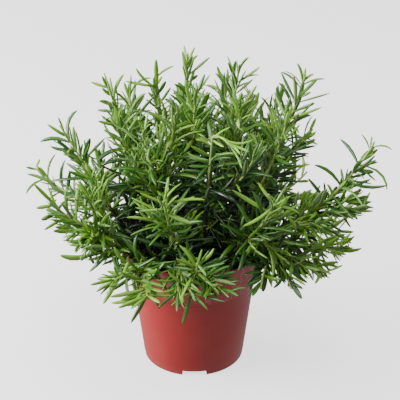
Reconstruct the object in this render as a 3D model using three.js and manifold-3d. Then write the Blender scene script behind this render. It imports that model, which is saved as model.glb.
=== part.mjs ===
// A potted rosemary plant: a thin plastic pot, the soil in it, and the leafy stems that grow out of the soil.
// Millimetres, +Z up. The origin is on the ground, under the middle of the plant and the axis of the pot.
import * as THREE from 'three';
import { mergeVertices } from 'three/addons/utils/BufferGeometryUtils.js';
import Module from 'manifold-3d';

const wasm = await Module();
wasm.setup();

// ---------------------------------------------------------------------------------- driving dimensions

// The pot: a 13 cm nursery pot with a deep flared collar and a foot ring with four notches.
const POT_HEIGHT = 113;
const RIM_RADIUS = 65;
const COLLAR_HEIGHT = 35;
const COLLAR_STEP = 2.8;
const COLLAR_CORNER = 0.8;
const LIP_HEIGHT = 2.4;
const LIP_FLARE = 0.6;
const LIP_ROUNDING = 1;
const FOOT_RADIUS = 43;
const WALL_SLOPE = 0.124;
const WALL = 1.8;
const FLOOR_UNDERSIDE = 5.6;
const NOTCH_HEIGHT = 4.7;
const NOTCH_WIDTH_AT_GROUND = 22.7;
const NOTCH_WIDTH_AT_TOP = 19.7;
const FIRST_NOTCH_HEADING = 271;
const NOTCH_COUNT = 4;
const DRAIN_HOLE_RADIUS = 4;
const DRAIN_RING_RADIUS = 27;
const DRAIN_HOLE_COUNT = 6;
const DRAIN_HOLE_SIDES = 8;
const POT_SIDES = 40;
const CUTTER_OVERSHOOT = 2;
const NOTCH_CUTTER_REACH = 14;

// The soil fills the pot to half the height of the collar, a little higher in the middle.
const SOIL_EDGE_HEIGHT = 97;
const SOIL_CROWN = 3;
const SOIL_SHOULDER_RADIUS = 38;
const SOIL_GAP = 0.35;
const STEM_HOLE_DEPTH = 16;
const STEM_HOLE_PLAY = 0.45;
const STEM_HOLE_SIDES = 6;
const STEM_HOLE_CUTTER_ABOVE = 6;
const FLAT_SHOULDER_RISE = 0.01;

// The stems: square in section, as rosemary's are, and thinner towards the tip.
const STEM_RADIUS_AT_SOIL = 1.9;
const STEM_RADIUS_AT_TIP = 1.0;
const BRANCH_RADIUS = 1.15;
const BEND_ABOVE_SOIL = 2.8;
const BARE_STEM_SHARE = 0.2;
const BARE_BRANCH_LENGTH = 8;
const WHORL_SPACING = 14;
const WHORL_HEIGHT = 2.4;
const BUD_LENGTH = 3.2;

// How far a stem keeps its first and its last direction, as shares of its reach, and how closely a branch
// follows its stem as it leaves it.
const START_PULL = 0.38;
const END_PULL = 0.36;
const BRANCH_FOLLOWS_STEM = 0.3;

// The leaves: narrow three-sided needles, flat above and keeled below, bent once along their length.
const LEAF_KEEL_SHARE = 0.4;
const LEAF_CLEARANCE = 0.4;
const POT_CLEARANCE = 2.4;
const LEAF_TRIES = 40;
const LEAF_LIFT = 0.22;
const LEAF_BASE_SHARE = 0.35;
const LEAF_LOWER_SHARE = 0.48;
const LEAF_BASE_TAPER = 0.9;
const LEAF_TIP_RADIUS = 0.2;
const POT_TEST_SAMPLES = 5;

// How much a leaf differs from its whorl, in degrees and in shares of its length: in a free place, and more
// with each further try in a crowded one.
const ROUND_SWAY = { free: 10, crowded: 26 };
const LEAN_SWAY = { free: 7, crowded: 16 };
const BEND_SWAY = { free: 9, crowded: 20 };
const LEAF_BEND = 9;
const LENGTH_SWAY = 0.12;
const CROWDED_SHORTENING = 0.3;
const SHORTENING_STARTS = 0.4;

// Leaf length, width and the angle between leaf and stem, by how far below the stem's tip the leaf grows.
const LEAF_STAGES = [
  { below: 0, length: 16, width: 2.1, angle: 20 },
  { below: 14, length: 23, width: 2.6, angle: 36 },
  { below: 30, length: 28, width: 3.0, angle: 50 },
  { below: 55, length: 31, width: 3.2, angle: 62 },
  { below: 110, length: 29, width: 3.2, angle: 70 },
];

// The leafy stems, each a node of its own: where it leaves the soil, where its tip is, and how steeply it
// starts and ends, in degrees above level. A branch leaves its stem at a share of the stem's length.
const STEMS = [
  // the upright crown
  {
    root: [-3, 5], tip: [-5, 10, 271], start: 86, end: 86,
    branch: { at: 0.42, tip: [2, -22, 254], end: 80 },
  },
  { root: [-14, 15], tip: [-32, 35, 246], start: 78, end: 84 },
  {
    root: [-24, 6], tip: [-69, 15, 244], start: 66, end: 74,
    branch: { at: 0.45, tip: [-54, 44, 230], end: 78 },
  },
  {
    root: [13, 7], tip: [37, 20, 257], start: 80, end: 82,
    branch: { at: 0.4, tip: [26, 56, 228], end: 78 },
  },
  {
    root: [25, 4], tip: [89, 10, 251], start: 62, end: 76,
    branch: { at: 0.5, tip: [95, 8, 205], end: 62 },
  },
  {
    root: [25, 20], tip: [74, 56, 222], start: 66, end: 74,
    branch: { at: 0.45, tip: [50, 62, 212], end: 78 },
  },
  {
    root: [24, -12], tip: [74, -45, 243], start: 66, end: 76,
    branch: { at: 0.45, tip: [92, -18, 166], end: 50 },
  },
  {
    root: [7, -22], tip: [15, -70, 238], start: 68, end: 70,
    branch: { at: 0.4, tip: [48, -72, 226], end: 74 },
  },
  {
    root: [-12, -18], tip: [-39, -55, 239], start: 70, end: 78,
    branch: { at: 0.45, tip: [-14, -48, 245], end: 80 },
  },
  { root: [-21, -7], tip: [-60, -28, 230], start: 68, end: 76 },
  { root: [11, -7], tip: [37, -30, 245], start: 76, end: 82 },
  { root: [0, 29], tip: [0, 80, 204], start: 72, end: 76 },
  // the front, from left to right
  { root: [-40, -1], tip: [-109, 0, 217], start: 48, end: 60 },
  {
    root: [-37, -16], tip: [-112, -50, 170], start: 48, end: 52,
    branch: { at: 0.4, tip: [-84, -38, 172], end: 66 },
  },
  {
    root: [-33, -27], tip: [-91, -65, 130], start: 57, end: 4,
    branch: { at: 0.45, tip: [-103, -34, 141], end: 24 },
  },
  {
    root: [-23, -37], tip: [-62, -95, 127], start: 60, end: 6,
    branch: { at: 0.5, tip: [-36, -102, 116], end: -30 },
  },
  {
    root: [-8, -33], tip: [-23, -85, 192], start: 60, end: 66,
    branch: { at: 0.3, tip: [-12, -98, 118], end: -20 },
  },
  {
    root: [2, -43], tip: [3, -100, 145], start: 54, end: 72,
    branch: { at: 0.5, tip: [28, -103, 116], end: -24 },
  },
  {
    root: [21, -31], tip: [63, -85, 189], start: 56, end: 66,
    branch: { at: 0.42, tip: [86, -60, 160], end: 54 },
  },
  {
    root: [32, -31], tip: [107, -70, 119], start: 60, end: -14,
    branch: { at: 0.5, tip: [79, -79, 109], end: -36 },
  },
  {
    root: [37, -20], tip: [137, -80, 236], start: 40, end: 62,
    branch: { at: 0.52, tip: [136, -73, 181], end: 34 },
  },
  {
    root: [42, -9], tip: [128, -40, 126], start: 56, end: 20,
    branch: { at: 0.3, tip: [54, -84, 112], end: -34 },
  },
  {
    root: [43, 4], tip: [131, 0, 117], start: 58, end: -4,
    branch: { at: 0.42, tip: [108, 30, 146], end: 56 },
  },
  // the back, from left to right
  {
    root: [-40, 14], tip: [-138, 60, 148], start: 52, end: 46,
    branch: { at: 0.36, tip: [-80, 32, 180], end: 72 },
  },
  { root: [-33, 28], tip: [-95, 86, 132], start: 58, end: 20 },
  {
    root: [-20, 30], tip: [-58, 84, 176], start: 62, end: 66,
    branch: { at: 0.42, tip: [-44, 101, 128], end: 26 },
  },
  { root: [-7, 40], tip: [-16, 98, 156], start: 58, end: 56 },
  { root: [10, 42], tip: [28, 98, 132], start: 60, end: 26 },
  {
    root: [18, 31], tip: [44, 86, 176], start: 62, end: 66,
    branch: { at: 0.45, tip: [66, 92, 142], end: 36 },
  },
  { root: [36, 25], tip: [100, 72, 138], start: 58, end: 36 },
];

// Colours, roughness and metalness as the photograph shows them.
const FINISHES = {
  pot: { color: 0xa8453c, roughness: 0.38, metalness: 0 },
  soil: { color: 0x33261b, roughness: 0.95, metalness: 0 },
  leaves: { color: 0x56713a, roughness: 0.55, metalness: 0 },
};

// ------------------------------------------------------------------------------------------- small tools

const UP = new THREE.Vector3(0, 0, 1);
const QUARTER_TURN = Math.PI / 2;
const FACE_DEPTH = Math.cos(QUARTER_TURN / 2);
const radians = THREE.MathUtils.degToRad;
const lerp = THREE.MathUtils.lerp;

// A seeded draw from 0 to 1, the same on every run.
const DRAW_MULTIPLIER = 48271;
const DRAW_MODULUS = 2147483647;
let seed = 20411;
function draw() {
  seed = (seed * DRAW_MULTIPLIER) % DRAW_MODULUS;
  return seed / DRAW_MODULUS;
}

// A draw from -1 to 1.
function sway() {
  return 2 * draw() - 1;
}

// The unit vector of a heading and a slope, both in degrees.
function direction(heading, slope) {
  const flat = Math.cos(radians(slope));
  return new THREE.Vector3(
    flat * Math.cos(radians(heading)),
    flat * Math.sin(radians(heading)),
    Math.sin(radians(slope)),
  );
}

// A closed geometry as a solid that can be cut and joined. Corners nearer than this are one corner.
const SAME_POINT = 1e-4;
function solidFrom(geometry) {
  const bare = geometry.clone();
  bare.deleteAttribute('normal');
  bare.deleteAttribute('uv');
  const merged = mergeVertices(bare, SAME_POINT);
  const corners = merged.index.array;
  const triangles = [];
  for (let i = 0; i < corners.length; i += 3) {
    const [a, b, c] = [corners[i], corners[i + 1], corners[i + 2]];
    if (a !== b && b !== c && c !== a) {
      triangles.push(a, b, c);
    }
  }
  return new wasm.Manifold(new wasm.Mesh({
    numProp: 3,
    vertProperties: Float32Array.from(merged.attributes.position.array),
    triVerts: Uint32Array.from(triangles),
  }));
}

// A finished solid as a geometry.
function geometryFrom(solid) {
  const mesh = solid.getMesh();
  const geometry = new THREE.BufferGeometry();
  geometry.setAttribute('position', new THREE.BufferAttribute(Float32Array.from(mesh.vertProperties), 3));
  geometry.setIndex(Array.from(mesh.triVerts));
  geometry.computeVertexNormals();
  return geometry;
}

// A turned body from a profile of [radius, height] points that starts and ends on the axis, underside first.
function turned(profile, sides) {
  const points = profile.map(([radius, height]) => new THREE.Vector2(radius, height));
  return new THREE.LatheGeometry(points, sides).rotateX(Math.PI / 2);
}

function finishedMesh(name, solid, finish) {
  const mesh = new THREE.Mesh(geometryFrom(solid), new THREE.MeshStandardMaterial(finish));
  mesh.name = name;
  return mesh;
}

// -------------------------------------------------------------------------------------------------- pot

const COLLAR_UNDERSIDE = POT_HEIGHT - COLLAR_HEIGHT;
const FLOOR_TOP = FLOOR_UNDERSIDE + WALL;
const LEDGE_HEIGHT = COLLAR_UNDERSIDE + WALL;
const COLLAR_INSIDE_BOTTOM = LEDGE_HEIGHT + COLLAR_CORNER;
const LIP_INSIDE_HEIGHT = POT_HEIGHT - LIP_FLARE;

function wallRadius(height) {
  return FOOT_RADIUS + WALL_SLOPE * height;
}

// The inside of the pot: the wall, then the ledge, then the collar.
function innerRadius(height) {
  if (height <= LEDGE_HEIGHT) {
    return wallRadius(height) - WALL;
  }
  const low = wallRadius(COLLAR_UNDERSIDE) + COLLAR_STEP - WALL;
  const high = RIM_RADIUS - LIP_FLARE - WALL;
  return lerp(low, high, (height - COLLAR_INSIDE_BOTTOM) / (LIP_INSIDE_HEIGHT - COLLAR_INSIDE_BOTTOM));
}

function potSolid() {
  const profile = [
    [0, FLOOR_UNDERSIDE],
    [innerRadius(FLOOR_UNDERSIDE), FLOOR_UNDERSIDE],
    [innerRadius(0), 0],
    [wallRadius(0), 0],
    [wallRadius(COLLAR_UNDERSIDE), COLLAR_UNDERSIDE],
    [wallRadius(COLLAR_UNDERSIDE) + COLLAR_STEP, COLLAR_UNDERSIDE + COLLAR_CORNER],
    [RIM_RADIUS - LIP_FLARE, POT_HEIGHT - LIP_HEIGHT],
    [RIM_RADIUS, POT_HEIGHT - LIP_ROUNDING],
    [RIM_RADIUS - LIP_ROUNDING, POT_HEIGHT],
    [innerRadius(LIP_INSIDE_HEIGHT), LIP_INSIDE_HEIGHT],
    [innerRadius(COLLAR_INSIDE_BOTTOM), COLLAR_INSIDE_BOTTOM],
    [innerRadius(LEDGE_HEIGHT), LEDGE_HEIGHT],
    [innerRadius(FLOOR_TOP), FLOOR_TOP],
    [0, FLOOR_TOP],
  ];
  let pot = solidFrom(turned(profile, POT_SIDES));
  for (let i = 0; i < NOTCH_COUNT; i += 1) {
    pot = pot.subtract(footNotch(FIRST_NOTCH_HEADING + (360 / NOTCH_COUNT) * i));
  }
  for (let i = 0; i < DRAIN_HOLE_COUNT; i += 1) {
    pot = pot.subtract(drainHole((360 / DRAIN_HOLE_COUNT) * i));
  }
  return pot;
}

// A trapezium cut out of the foot ring, narrower at its top.
function footNotch(heading) {
  const outline = new THREE.Shape([
    new THREE.Vector2(-NOTCH_WIDTH_AT_GROUND / 2, -CUTTER_OVERSHOOT),
    new THREE.Vector2(NOTCH_WIDTH_AT_GROUND / 2, -CUTTER_OVERSHOOT),
    new THREE.Vector2(NOTCH_WIDTH_AT_TOP / 2, NOTCH_HEIGHT),
    new THREE.Vector2(-NOTCH_WIDTH_AT_TOP / 2, NOTCH_HEIGHT),
  ]);
  const cutter = new THREE.ExtrudeGeometry(outline, { depth: NOTCH_CUTTER_REACH, bevelEnabled: false });
  cutter.rotateX(Math.PI / 2);
  cutter.rotateZ(Math.PI / 2);
  cutter.translate(FOOT_RADIUS - NOTCH_CUTTER_REACH / 2, 0, 0);
  cutter.rotateZ(radians(heading));
  return solidFrom(cutter);
}

function drainHole(heading) {
  const depth = WALL + 2 * CUTTER_OVERSHOOT;
  const cutter = new THREE.CylinderGeometry(DRAIN_HOLE_RADIUS, DRAIN_HOLE_RADIUS, depth, DRAIN_HOLE_SIDES);
  cutter.rotateX(Math.PI / 2);
  cutter.translate(DRAIN_RING_RADIUS, 0, FLOOR_UNDERSIDE + WALL / 2);
  cutter.rotateZ(radians(heading));
  return solidFrom(cutter);
}

// ------------------------------------------------------------------------------------------------- soil

function soilHeight(radius) {
  const share = Math.min(radius / SOIL_SHOULDER_RADIUS, 1);
  return SOIL_EDGE_HEIGHT + SOIL_CROWN * (1 - share * share);
}

function soilSolid() {
  const underside = FLOOR_TOP + SOIL_GAP;
  const profile = [
    [0, underside],
    [innerRadius(underside) - SOIL_GAP, underside],
    [innerRadius(LEDGE_HEIGHT) - SOIL_GAP, LEDGE_HEIGHT + SOIL_GAP],
    [innerRadius(COLLAR_INSIDE_BOTTOM) - SOIL_GAP, COLLAR_INSIDE_BOTTOM + SOIL_GAP],
    [innerRadius(SOIL_EDGE_HEIGHT) - SOIL_GAP, SOIL_EDGE_HEIGHT],
    [SOIL_SHOULDER_RADIUS, SOIL_EDGE_HEIGHT + FLAT_SHOULDER_RISE],
    [SOIL_SHOULDER_RADIUS / 2, soilHeight(SOIL_SHOULDER_RADIUS / 2)],
    [0, soilHeight(0)],
  ];
  let soil = solidFrom(turned(profile, POT_SIDES));
  for (const stem of STEMS) {
    soil = soil.subtract(stemHole(stem));
  }
  return soil;
}

// A plain upright hole that the foot of one stem stands in.
function stemHole(stem) {
  const [x, y] = stem.root;
  const depth = STEM_HOLE_DEPTH + STEM_HOLE_PLAY + STEM_HOLE_CUTTER_ABOVE;
  const radius = (STEM_RADIUS_AT_SOIL + STEM_HOLE_PLAY) / Math.cos(Math.PI / STEM_HOLE_SIDES);
  const cutter = new THREE.CylinderGeometry(radius, radius, depth, STEM_HOLE_SIDES);
  cutter.rotateX(Math.PI / 2);
  cutter.translate(x, y, soilHeight(Math.hypot(x, y)) + STEM_HOLE_CUTTER_ABOVE - depth / 2);
  return solidFrom(cutter);
}

// ------------------------------------------------------------------------------------- the way of a stem

// A stem or a branch as a curve, with the rings of its square section along it.
class Shoot {
  constructor(curve, radii, footPoint) {
    this.curve = curve;
    this.radii = radii;
    this.footPoint = footPoint;
    this.length = curve.getLength();
    this.rings = [];
    this.whorls = [];
    this.layRings();
  }

  // A ring at a length along the curve, turned about it by a share of a whorl's turn.
  addRing(at, turn) {
    const share = THREE.MathUtils.clamp(at / this.length, 0, 1);
    this.rings.push({
      turn,
      centre: this.curve.getPointAt(share),
      tangent: this.curve.getTangentAt(share),
      radius: lerp(this.radii[0], this.radii[1], share),
    });
  }

  // Rings from the soil to the tip: one a step where the stem is bare, two where a whorl of leaves grows.
  layRings() {
    const last = this.length - BUD_LENGTH;
    const steps = Math.max(1, Math.round(last / WHORL_SPACING));
    const spacing = last / steps;
    const bare = this.footPoint ? BARE_STEM_SHARE * this.length : BARE_BRANCH_LENGTH;
    this.addRing(0, 0);
    for (let step = 1; step <= steps; step += 1) {
      const at = step * spacing;
      const turn = (QUARTER_TURN / 2) * step;
      if (at < bare) {
        this.addRing(at, turn);
        continue;
      }
      this.addRing(at - WHORL_HEIGHT, turn);
      this.addRing(at, turn);
      this.whorls.push({ ring: this.rings.length - 2, below: this.length - at, leaves: [] });
    }
    if (this.footPoint) {
      this.rings[0].tangent = this.rings[0].tangent.clone().add(UP).normalize();
      this.rings.unshift({
        turn: 0,
        centre: this.footPoint,
        tangent: UP.clone(),
        radius: this.radii[0],
      });
      for (const whorl of this.whorls) {
        whorl.ring += 1;
      }
    }
    this.carryFrame();
  }

  // Each ring's side directions follow from the ring before it, with no twist but the whorls' own turn.
  carryFrame() {
    let side = new THREE.Vector3(1, 0, 0);
    for (const ring of this.rings) {
      side = side.clone().addScaledVector(ring.tangent, -side.dot(ring.tangent)).normalize();
      ring.side = side;
      ring.other = new THREE.Vector3().crossVectors(ring.tangent, side);
    }
  }

  // The direction that looks out from the stem at an angle round it.
  outward(ring, angle) {
    return ring.side.clone().multiplyScalar(Math.cos(angle)).addScaledVector(ring.other, Math.sin(angle));
  }

  corner(ring, index) {
    const angle = ring.turn + QUARTER_TURN * index;
    return ring.centre.clone().addScaledVector(this.outward(ring, angle), ring.radius);
  }
}

// The curve from a starting point and direction to a tip, ending at a slope.
function shootCurve(start, startDirection, tip, endSlope) {
  const reach = start.distanceTo(tip);
  const heading = THREE.MathUtils.radToDeg(Math.atan2(tip.y - start.y, tip.x - start.x));
  return new THREE.CubicBezierCurve3(
    start,
    start.clone().addScaledVector(startDirection, START_PULL * reach),
    tip.clone().addScaledVector(direction(heading, endSlope), -END_PULL * reach),
    tip,
  );
}

function mainShoot(stem) {
  const [x, y] = stem.root;
  const surface = soilHeight(Math.hypot(x, y));
  const start = new THREE.Vector3(x, y, surface + BEND_ABOVE_SOIL);
  const tip = new THREE.Vector3(...stem.tip);
  const heading = THREE.MathUtils.radToDeg(Math.atan2(tip.y - y, tip.x - x));
  const curve = shootCurve(start, direction(heading, stem.start), tip, stem.end);
  const foot = new THREE.Vector3(x, y, surface - STEM_HOLE_DEPTH);
  return new Shoot(curve, [STEM_RADIUS_AT_SOIL, STEM_RADIUS_AT_TIP], foot);
}

// A branch starts on the axis of its stem, and parts from it slowly.
function branchShoot(main, branch) {
  const start = main.curve.getPointAt(branch.at);
  const tip = new THREE.Vector3(...branch.tip);
  const towards = tip.clone().sub(start).normalize();
  const startDirection = main.curve.getTangentAt(branch.at)
    .multiplyScalar(BRANCH_FOLLOWS_STEM)
    .add(towards)
    .normalize();
  const curve = shootCurve(start, startDirection, tip, branch.end);
  return new Shoot(curve, [BRANCH_RADIUS, STEM_RADIUS_AT_TIP], null);
}

// ----------------------------------------------------------------------------------------------- leaves

// Everything that a leaf has to keep clear of, as tapered rods of a stem or of another leaf.
const rods = [];

function rodBetween(from, to, radii, shoot, part) {
  const middle = from.clone().add(to).multiplyScalar(0.5);
  return { from, to, radii, middle, reach: from.distanceTo(to) / 2 + Math.max(...radii), shoot, part };
}

// The gap between two tapered rods, from the points where their axes are nearest.
const NEARLY_PARALLEL = 1e-9;
function gapBetween(one, two) {
  const along = one.to.clone().sub(one.from);
  const across = two.to.clone().sub(two.from);
  const apart = one.from.clone().sub(two.from);
  const a = along.lengthSq();
  const b = along.dot(across);
  const c = across.lengthSq();
  const d = along.dot(apart);
  const e = across.dot(apart);
  const parallel = a * c - b * b;
  let share = parallel > NEARLY_PARALLEL ? THREE.MathUtils.clamp((b * e - c * d) / parallel, 0, 1) : 0;
  const other = THREE.MathUtils.clamp((b * share + e) / c, 0, 1);
  share = THREE.MathUtils.clamp((b * other - d) / a, 0, 1);
  const distance = one.from.clone().addScaledVector(along, share)
    .distanceTo(two.from.clone().addScaledVector(across, other));
  return distance - lerp(one.radii[0], one.radii[1], share) - lerp(two.radii[0], two.radii[1], other);
}

// A leaf's own rods: its base near the stem, its lower half and its upper half.
function leafRods(leaf, shoot) {
  const offStem = leaf.root.clone().lerp(leaf.middle, LEAF_BASE_SHARE);
  const half = leaf.width / 2;
  return [
    rodBetween(leaf.root, offStem, [half, half * LEAF_BASE_TAPER], shoot, 'leaf base'),
    rodBetween(offStem, leaf.middle, [half * LEAF_BASE_TAPER, half], shoot, 'leaf'),
    rodBetween(leaf.middle, leaf.tip, [half, LEAF_TIP_RADIUS], shoot, 'leaf'),
  ];
}

// Leaves part from their own stem and from each other near their bases, so those pairs aren't tested.
function isPartOfRoot(leaf, part, rod) {
  if (rod.shoot !== part.shoot) {
    return false;
  }
  const isOwnStem = rod.part === 'stem' && rod.middle.distanceTo(leaf.root) < 2 * WHORL_SPACING;
  return isOwnStem || rod.part === 'leaf base' || part.part === 'leaf base';
}

function isClearOfPot(point) {
  const radius = Math.hypot(point.x, point.y);
  if (point.z > POT_HEIGHT + POT_CLEARANCE || radius > RIM_RADIUS + POT_CLEARANCE) {
    return true;
  }
  return radius < innerRadius(point.z) - POT_CLEARANCE && point.z > soilHeight(radius) + POT_CLEARANCE;
}

function leafIsClearOfPot(leaf) {
  for (let i = 0; i <= POT_TEST_SAMPLES; i += 1) {
    const lower = leaf.root.clone().lerp(leaf.middle, i / POT_TEST_SAMPLES);
    const upper = leaf.middle.clone().lerp(leaf.tip, i / POT_TEST_SAMPLES);
    if (!isClearOfPot(lower) || !isClearOfPot(upper)) {
      return false;
    }
  }
  return true;
}

function isClear(leaf, shoot) {
  if (!leafIsClearOfPot(leaf)) {
    return false;
  }
  for (const part of leafRods(leaf, shoot)) {
    for (const rod of rods) {
      const isFar = rod.middle.distanceTo(part.middle) > rod.reach + part.reach + LEAF_CLEARANCE;
      if (isFar || isPartOfRoot(leaf, part, rod)) {
        continue;
      }
      if (gapBetween(part, rod) < LEAF_CLEARANCE) {
        return false;
      }
    }
  }
  return true;
}

// The length, width and angle of a leaf at a distance below the tip.
function leafStage(below) {
  const next = LEAF_STAGES.findIndex((stage) => stage.below > below);
  if (next < 0) {
    return LEAF_STAGES[LEAF_STAGES.length - 1];
  }
  const [one, two] = [LEAF_STAGES[next - 1], LEAF_STAGES[next]];
  const share = (below - one.below) / (two.below - one.below);
  return {
    length: lerp(one.length, two.length, share),
    width: lerp(one.width, two.width, share),
    angle: lerp(one.angle, two.angle, share),
  };
}

// One leaf that grows from a face of the stem. Each try strays further from the regular whorl.
function grownLeaf(shoot, whorl, face, stray) {
  const ring = shoot.rings[whorl.ring + 1];
  const stage = leafStage(whorl.below);
  const angleRound = ring.turn + QUARTER_TURN * (face + 0.5)
    + radians(ROUND_SWAY.free + ROUND_SWAY.crowded * stray) * sway();
  const away = shoot.outward(ring, angleRound);
  const lean = radians(stage.angle + (LEAN_SWAY.free + LEAN_SWAY.crowded * stray) * sway());
  const bend = radians(LEAF_BEND + (BEND_SWAY.free + BEND_SWAY.crowded * stray) * sway());
  const shortening = CROWDED_SHORTENING * Math.max(0, stray - SHORTENING_STARTS);
  const length = stage.length * (1 + LENGTH_SWAY * sway() - shortening);
  const lift = LEAF_LIFT * (1 - ring.tangent.z);
  const start = ring.tangent.clone().multiplyScalar(Math.cos(lean)).addScaledVector(away, Math.sin(lean))
    .addScaledVector(UP, lift).normalize();
  const end = ring.tangent.clone().multiplyScalar(Math.cos(lean + bend))
    .addScaledVector(away, Math.sin(lean + bend)).addScaledVector(UP, lift / 2).normalize();
  const root = ring.centre.clone().addScaledVector(away, ring.radius * FACE_DEPTH)
    .addScaledVector(ring.tangent, -WHORL_HEIGHT / 3);
  const middle = root.clone().addScaledVector(start, length * LEAF_LOWER_SHARE);
  const tip = middle.clone().addScaledVector(end, length * (1 - LEAF_LOWER_SHARE));
  const across = new THREE.Vector3().crossVectors(ring.tangent, away).normalize();
  const above = new THREE.Vector3().crossVectors(start, across).normalize();
  return { width: stage.width, root, middle, tip, across, above };
}

// Tips are served first, so that the outline of the plant keeps its leaves.
function growLeaves(shoots) {
  for (const shoot of shoots) {
    for (let i = 1; i < shoot.rings.length; i += 1) {
      const [low, high] = [shoot.rings[i - 1], shoot.rings[i]];
      rods.push(rodBetween(low.centre, high.centre, [low.radius, high.radius], shoot, 'stem'));
    }
  }
  const places = [];
  for (const shoot of shoots) {
    for (const whorl of shoot.whorls) {
      places.push({ shoot, whorl });
    }
  }
  places.sort((one, two) => one.whorl.below - two.whorl.below);
  for (const { shoot, whorl } of places) {
    for (let face = 0; face < 4; face += 1) {
      for (let attempt = 0; attempt < LEAF_TRIES; attempt += 1) {
        const leaf = grownLeaf(shoot, whorl, face, attempt / LEAF_TRIES);
        if (isClear(leaf, shoot)) {
          whorl.leaves[face] = leaf;
          rods.push(...leafRods(leaf, shoot));
          break;
        }
      }
    }
  }
}

// ------------------------------------------------------------------------------------ a shoot as a solid

// The square tube of a shoot. Each leaf is raised from one triangle of its face by way of a middle section.
function shootSolid(shoot) {
  const points = [];
  const triangles = [];
  const addPoint = (point) => points.push(point) - 1;
  const ringStarts = shoot.rings.map((ring) => {
    const first = points.length;
    for (let index = 0; index < 4; index += 1) {
      addPoint(shoot.corner(ring, index));
    }
    return first;
  });
  const leavesOfRing = new Map(shoot.whorls.map((whorl) => [whorl.ring, whorl.leaves]));
  for (let i = 1; i < shoot.rings.length; i += 1) {
    const [low, high] = [ringStarts[i - 1], ringStarts[i]];
    const leaves = leavesOfRing.get(i - 1) ?? [];
    for (let face = 0; face < 4; face += 1) {
      const next = (face + 1) % 4;
      const [a, b, c, d] = [low + face, low + next, high + next, high + face];
      triangles.push([a, b, c]);
      if (leaves[face]) {
        raiseLeaf(leaves[face], [a, c, d], addPoint, triangles);
      } else {
        triangles.push([a, c, d]);
      }
    }
  }
  const first = ringStarts[0];
  triangles.push([first, first + 2, first + 1], [first, first + 3, first + 2]);
  const last = ringStarts[ringStarts.length - 1];
  const bud = addPoint(shoot.curve.getPointAt(1));
  for (let face = 0; face < 4; face += 1) {
    triangles.push([last + face, last + ((face + 1) % 4), bud]);
  }
  return new wasm.Manifold(new wasm.Mesh({
    numProp: 3,
    vertProperties: Float32Array.from(points.flatMap((point) => point.toArray())),
    triVerts: Uint32Array.from(triangles.flat()),
  }));
}

// Six triangles from the root to the middle section and three to the tip.
function raiseLeaf(leaf, root, addPoint, triangles) {
  const half = leaf.across.clone().multiplyScalar(leaf.width / 2);
  const middle = [
    addPoint(leaf.middle.clone().addScaledVector(leaf.above, -LEAF_KEEL_SHARE * leaf.width)),
    addPoint(leaf.middle.clone().add(half)),
    addPoint(leaf.middle.clone().sub(half)),
  ];
  const tip = addPoint(leaf.tip);
  for (let i = 0; i < 3; i += 1) {
    const next = (i + 1) % 3;
    triangles.push([root[i], root[next], middle[next]], [root[i], middle[next], middle[i]]);
    triangles.push([middle[i], middle[next], tip]);
  }
}

// --------------------------------------------------------------------------------------------- assembly

const plant = new THREE.Group();
plant.add(finishedMesh('pot', potSolid(), FINISHES.pot));
plant.add(finishedMesh('soil', soilSolid(), FINISHES.soil));

const stemShoots = STEMS.map((stem) => {
  const main = mainShoot(stem);
  return stem.branch ? [main, branchShoot(main, stem.branch)] : [main];
});
growLeaves(stemShoots.flat());
stemShoots.forEach((shoots, index) => {
  const solid = shoots.map(shootSolid).reduce((joined, next) => joined.add(next));
  const name = `leafy_stem_${String(index + 1).padStart(2, '0')}`;
  plant.add(finishedMesh(name, solid, FINISHES.leaves));
});

export default plant;
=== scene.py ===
"""A potted rosemary plant: its pot, its soil, and its stems with all their leaves.

Lengths are in metres and angles in degrees, unless a name says otherwise. +Z is up, the origin is on the
ground under the axis of the pot, and the photograph looks along +Y.
"""

import logging
import math
import random
from collections.abc import Callable, Iterator, Sequence
from contextlib import contextmanager
from dataclasses import astuple, dataclass, field, fields
from enum import Enum

import bmesh
import bpy
import numpy as np
from mathutils import Matrix, Vector, noise


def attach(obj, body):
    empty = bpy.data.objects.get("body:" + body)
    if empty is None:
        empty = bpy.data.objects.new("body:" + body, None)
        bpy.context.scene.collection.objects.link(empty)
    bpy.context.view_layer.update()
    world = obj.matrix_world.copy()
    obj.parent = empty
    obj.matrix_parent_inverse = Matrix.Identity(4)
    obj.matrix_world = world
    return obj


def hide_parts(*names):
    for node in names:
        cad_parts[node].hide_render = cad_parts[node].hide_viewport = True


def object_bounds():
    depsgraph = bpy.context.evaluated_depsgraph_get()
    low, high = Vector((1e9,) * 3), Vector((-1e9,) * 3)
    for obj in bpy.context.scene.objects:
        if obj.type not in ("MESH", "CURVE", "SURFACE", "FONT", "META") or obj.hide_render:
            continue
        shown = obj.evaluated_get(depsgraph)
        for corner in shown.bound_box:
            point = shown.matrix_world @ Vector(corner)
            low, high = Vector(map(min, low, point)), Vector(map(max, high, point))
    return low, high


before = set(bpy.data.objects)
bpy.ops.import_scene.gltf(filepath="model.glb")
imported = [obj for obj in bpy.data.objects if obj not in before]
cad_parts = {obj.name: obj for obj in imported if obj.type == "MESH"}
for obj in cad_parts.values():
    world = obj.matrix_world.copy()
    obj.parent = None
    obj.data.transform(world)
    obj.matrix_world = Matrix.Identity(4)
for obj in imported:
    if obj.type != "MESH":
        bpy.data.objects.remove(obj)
CAD_LOW, CAD_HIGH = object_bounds()
BODY = "root"
UP = Vector((0, 0, 1))
LOG = logging.getLogger("rosemary")

Piece = bpy.types.Object
Mesh = bpy.types.Mesh
Material = bpy.types.Material
Socket = bpy.types.NodeSocket
Array = np.ndarray
Colour = tuple[float, float, float]
Pair = tuple[float, float]
Outline = list[Pair]


def clamped(value: float, high: float = 1.0) -> float:
    """A value that is kept between 0 and a highest one."""
    return min(max(value, 0.0), high)


def fade(amount: float, reach: float) -> float:
    """How much of a reach an amount fills, from 0 to 1."""
    return clamped(amount / reach)


# ---- shader maths


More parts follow.
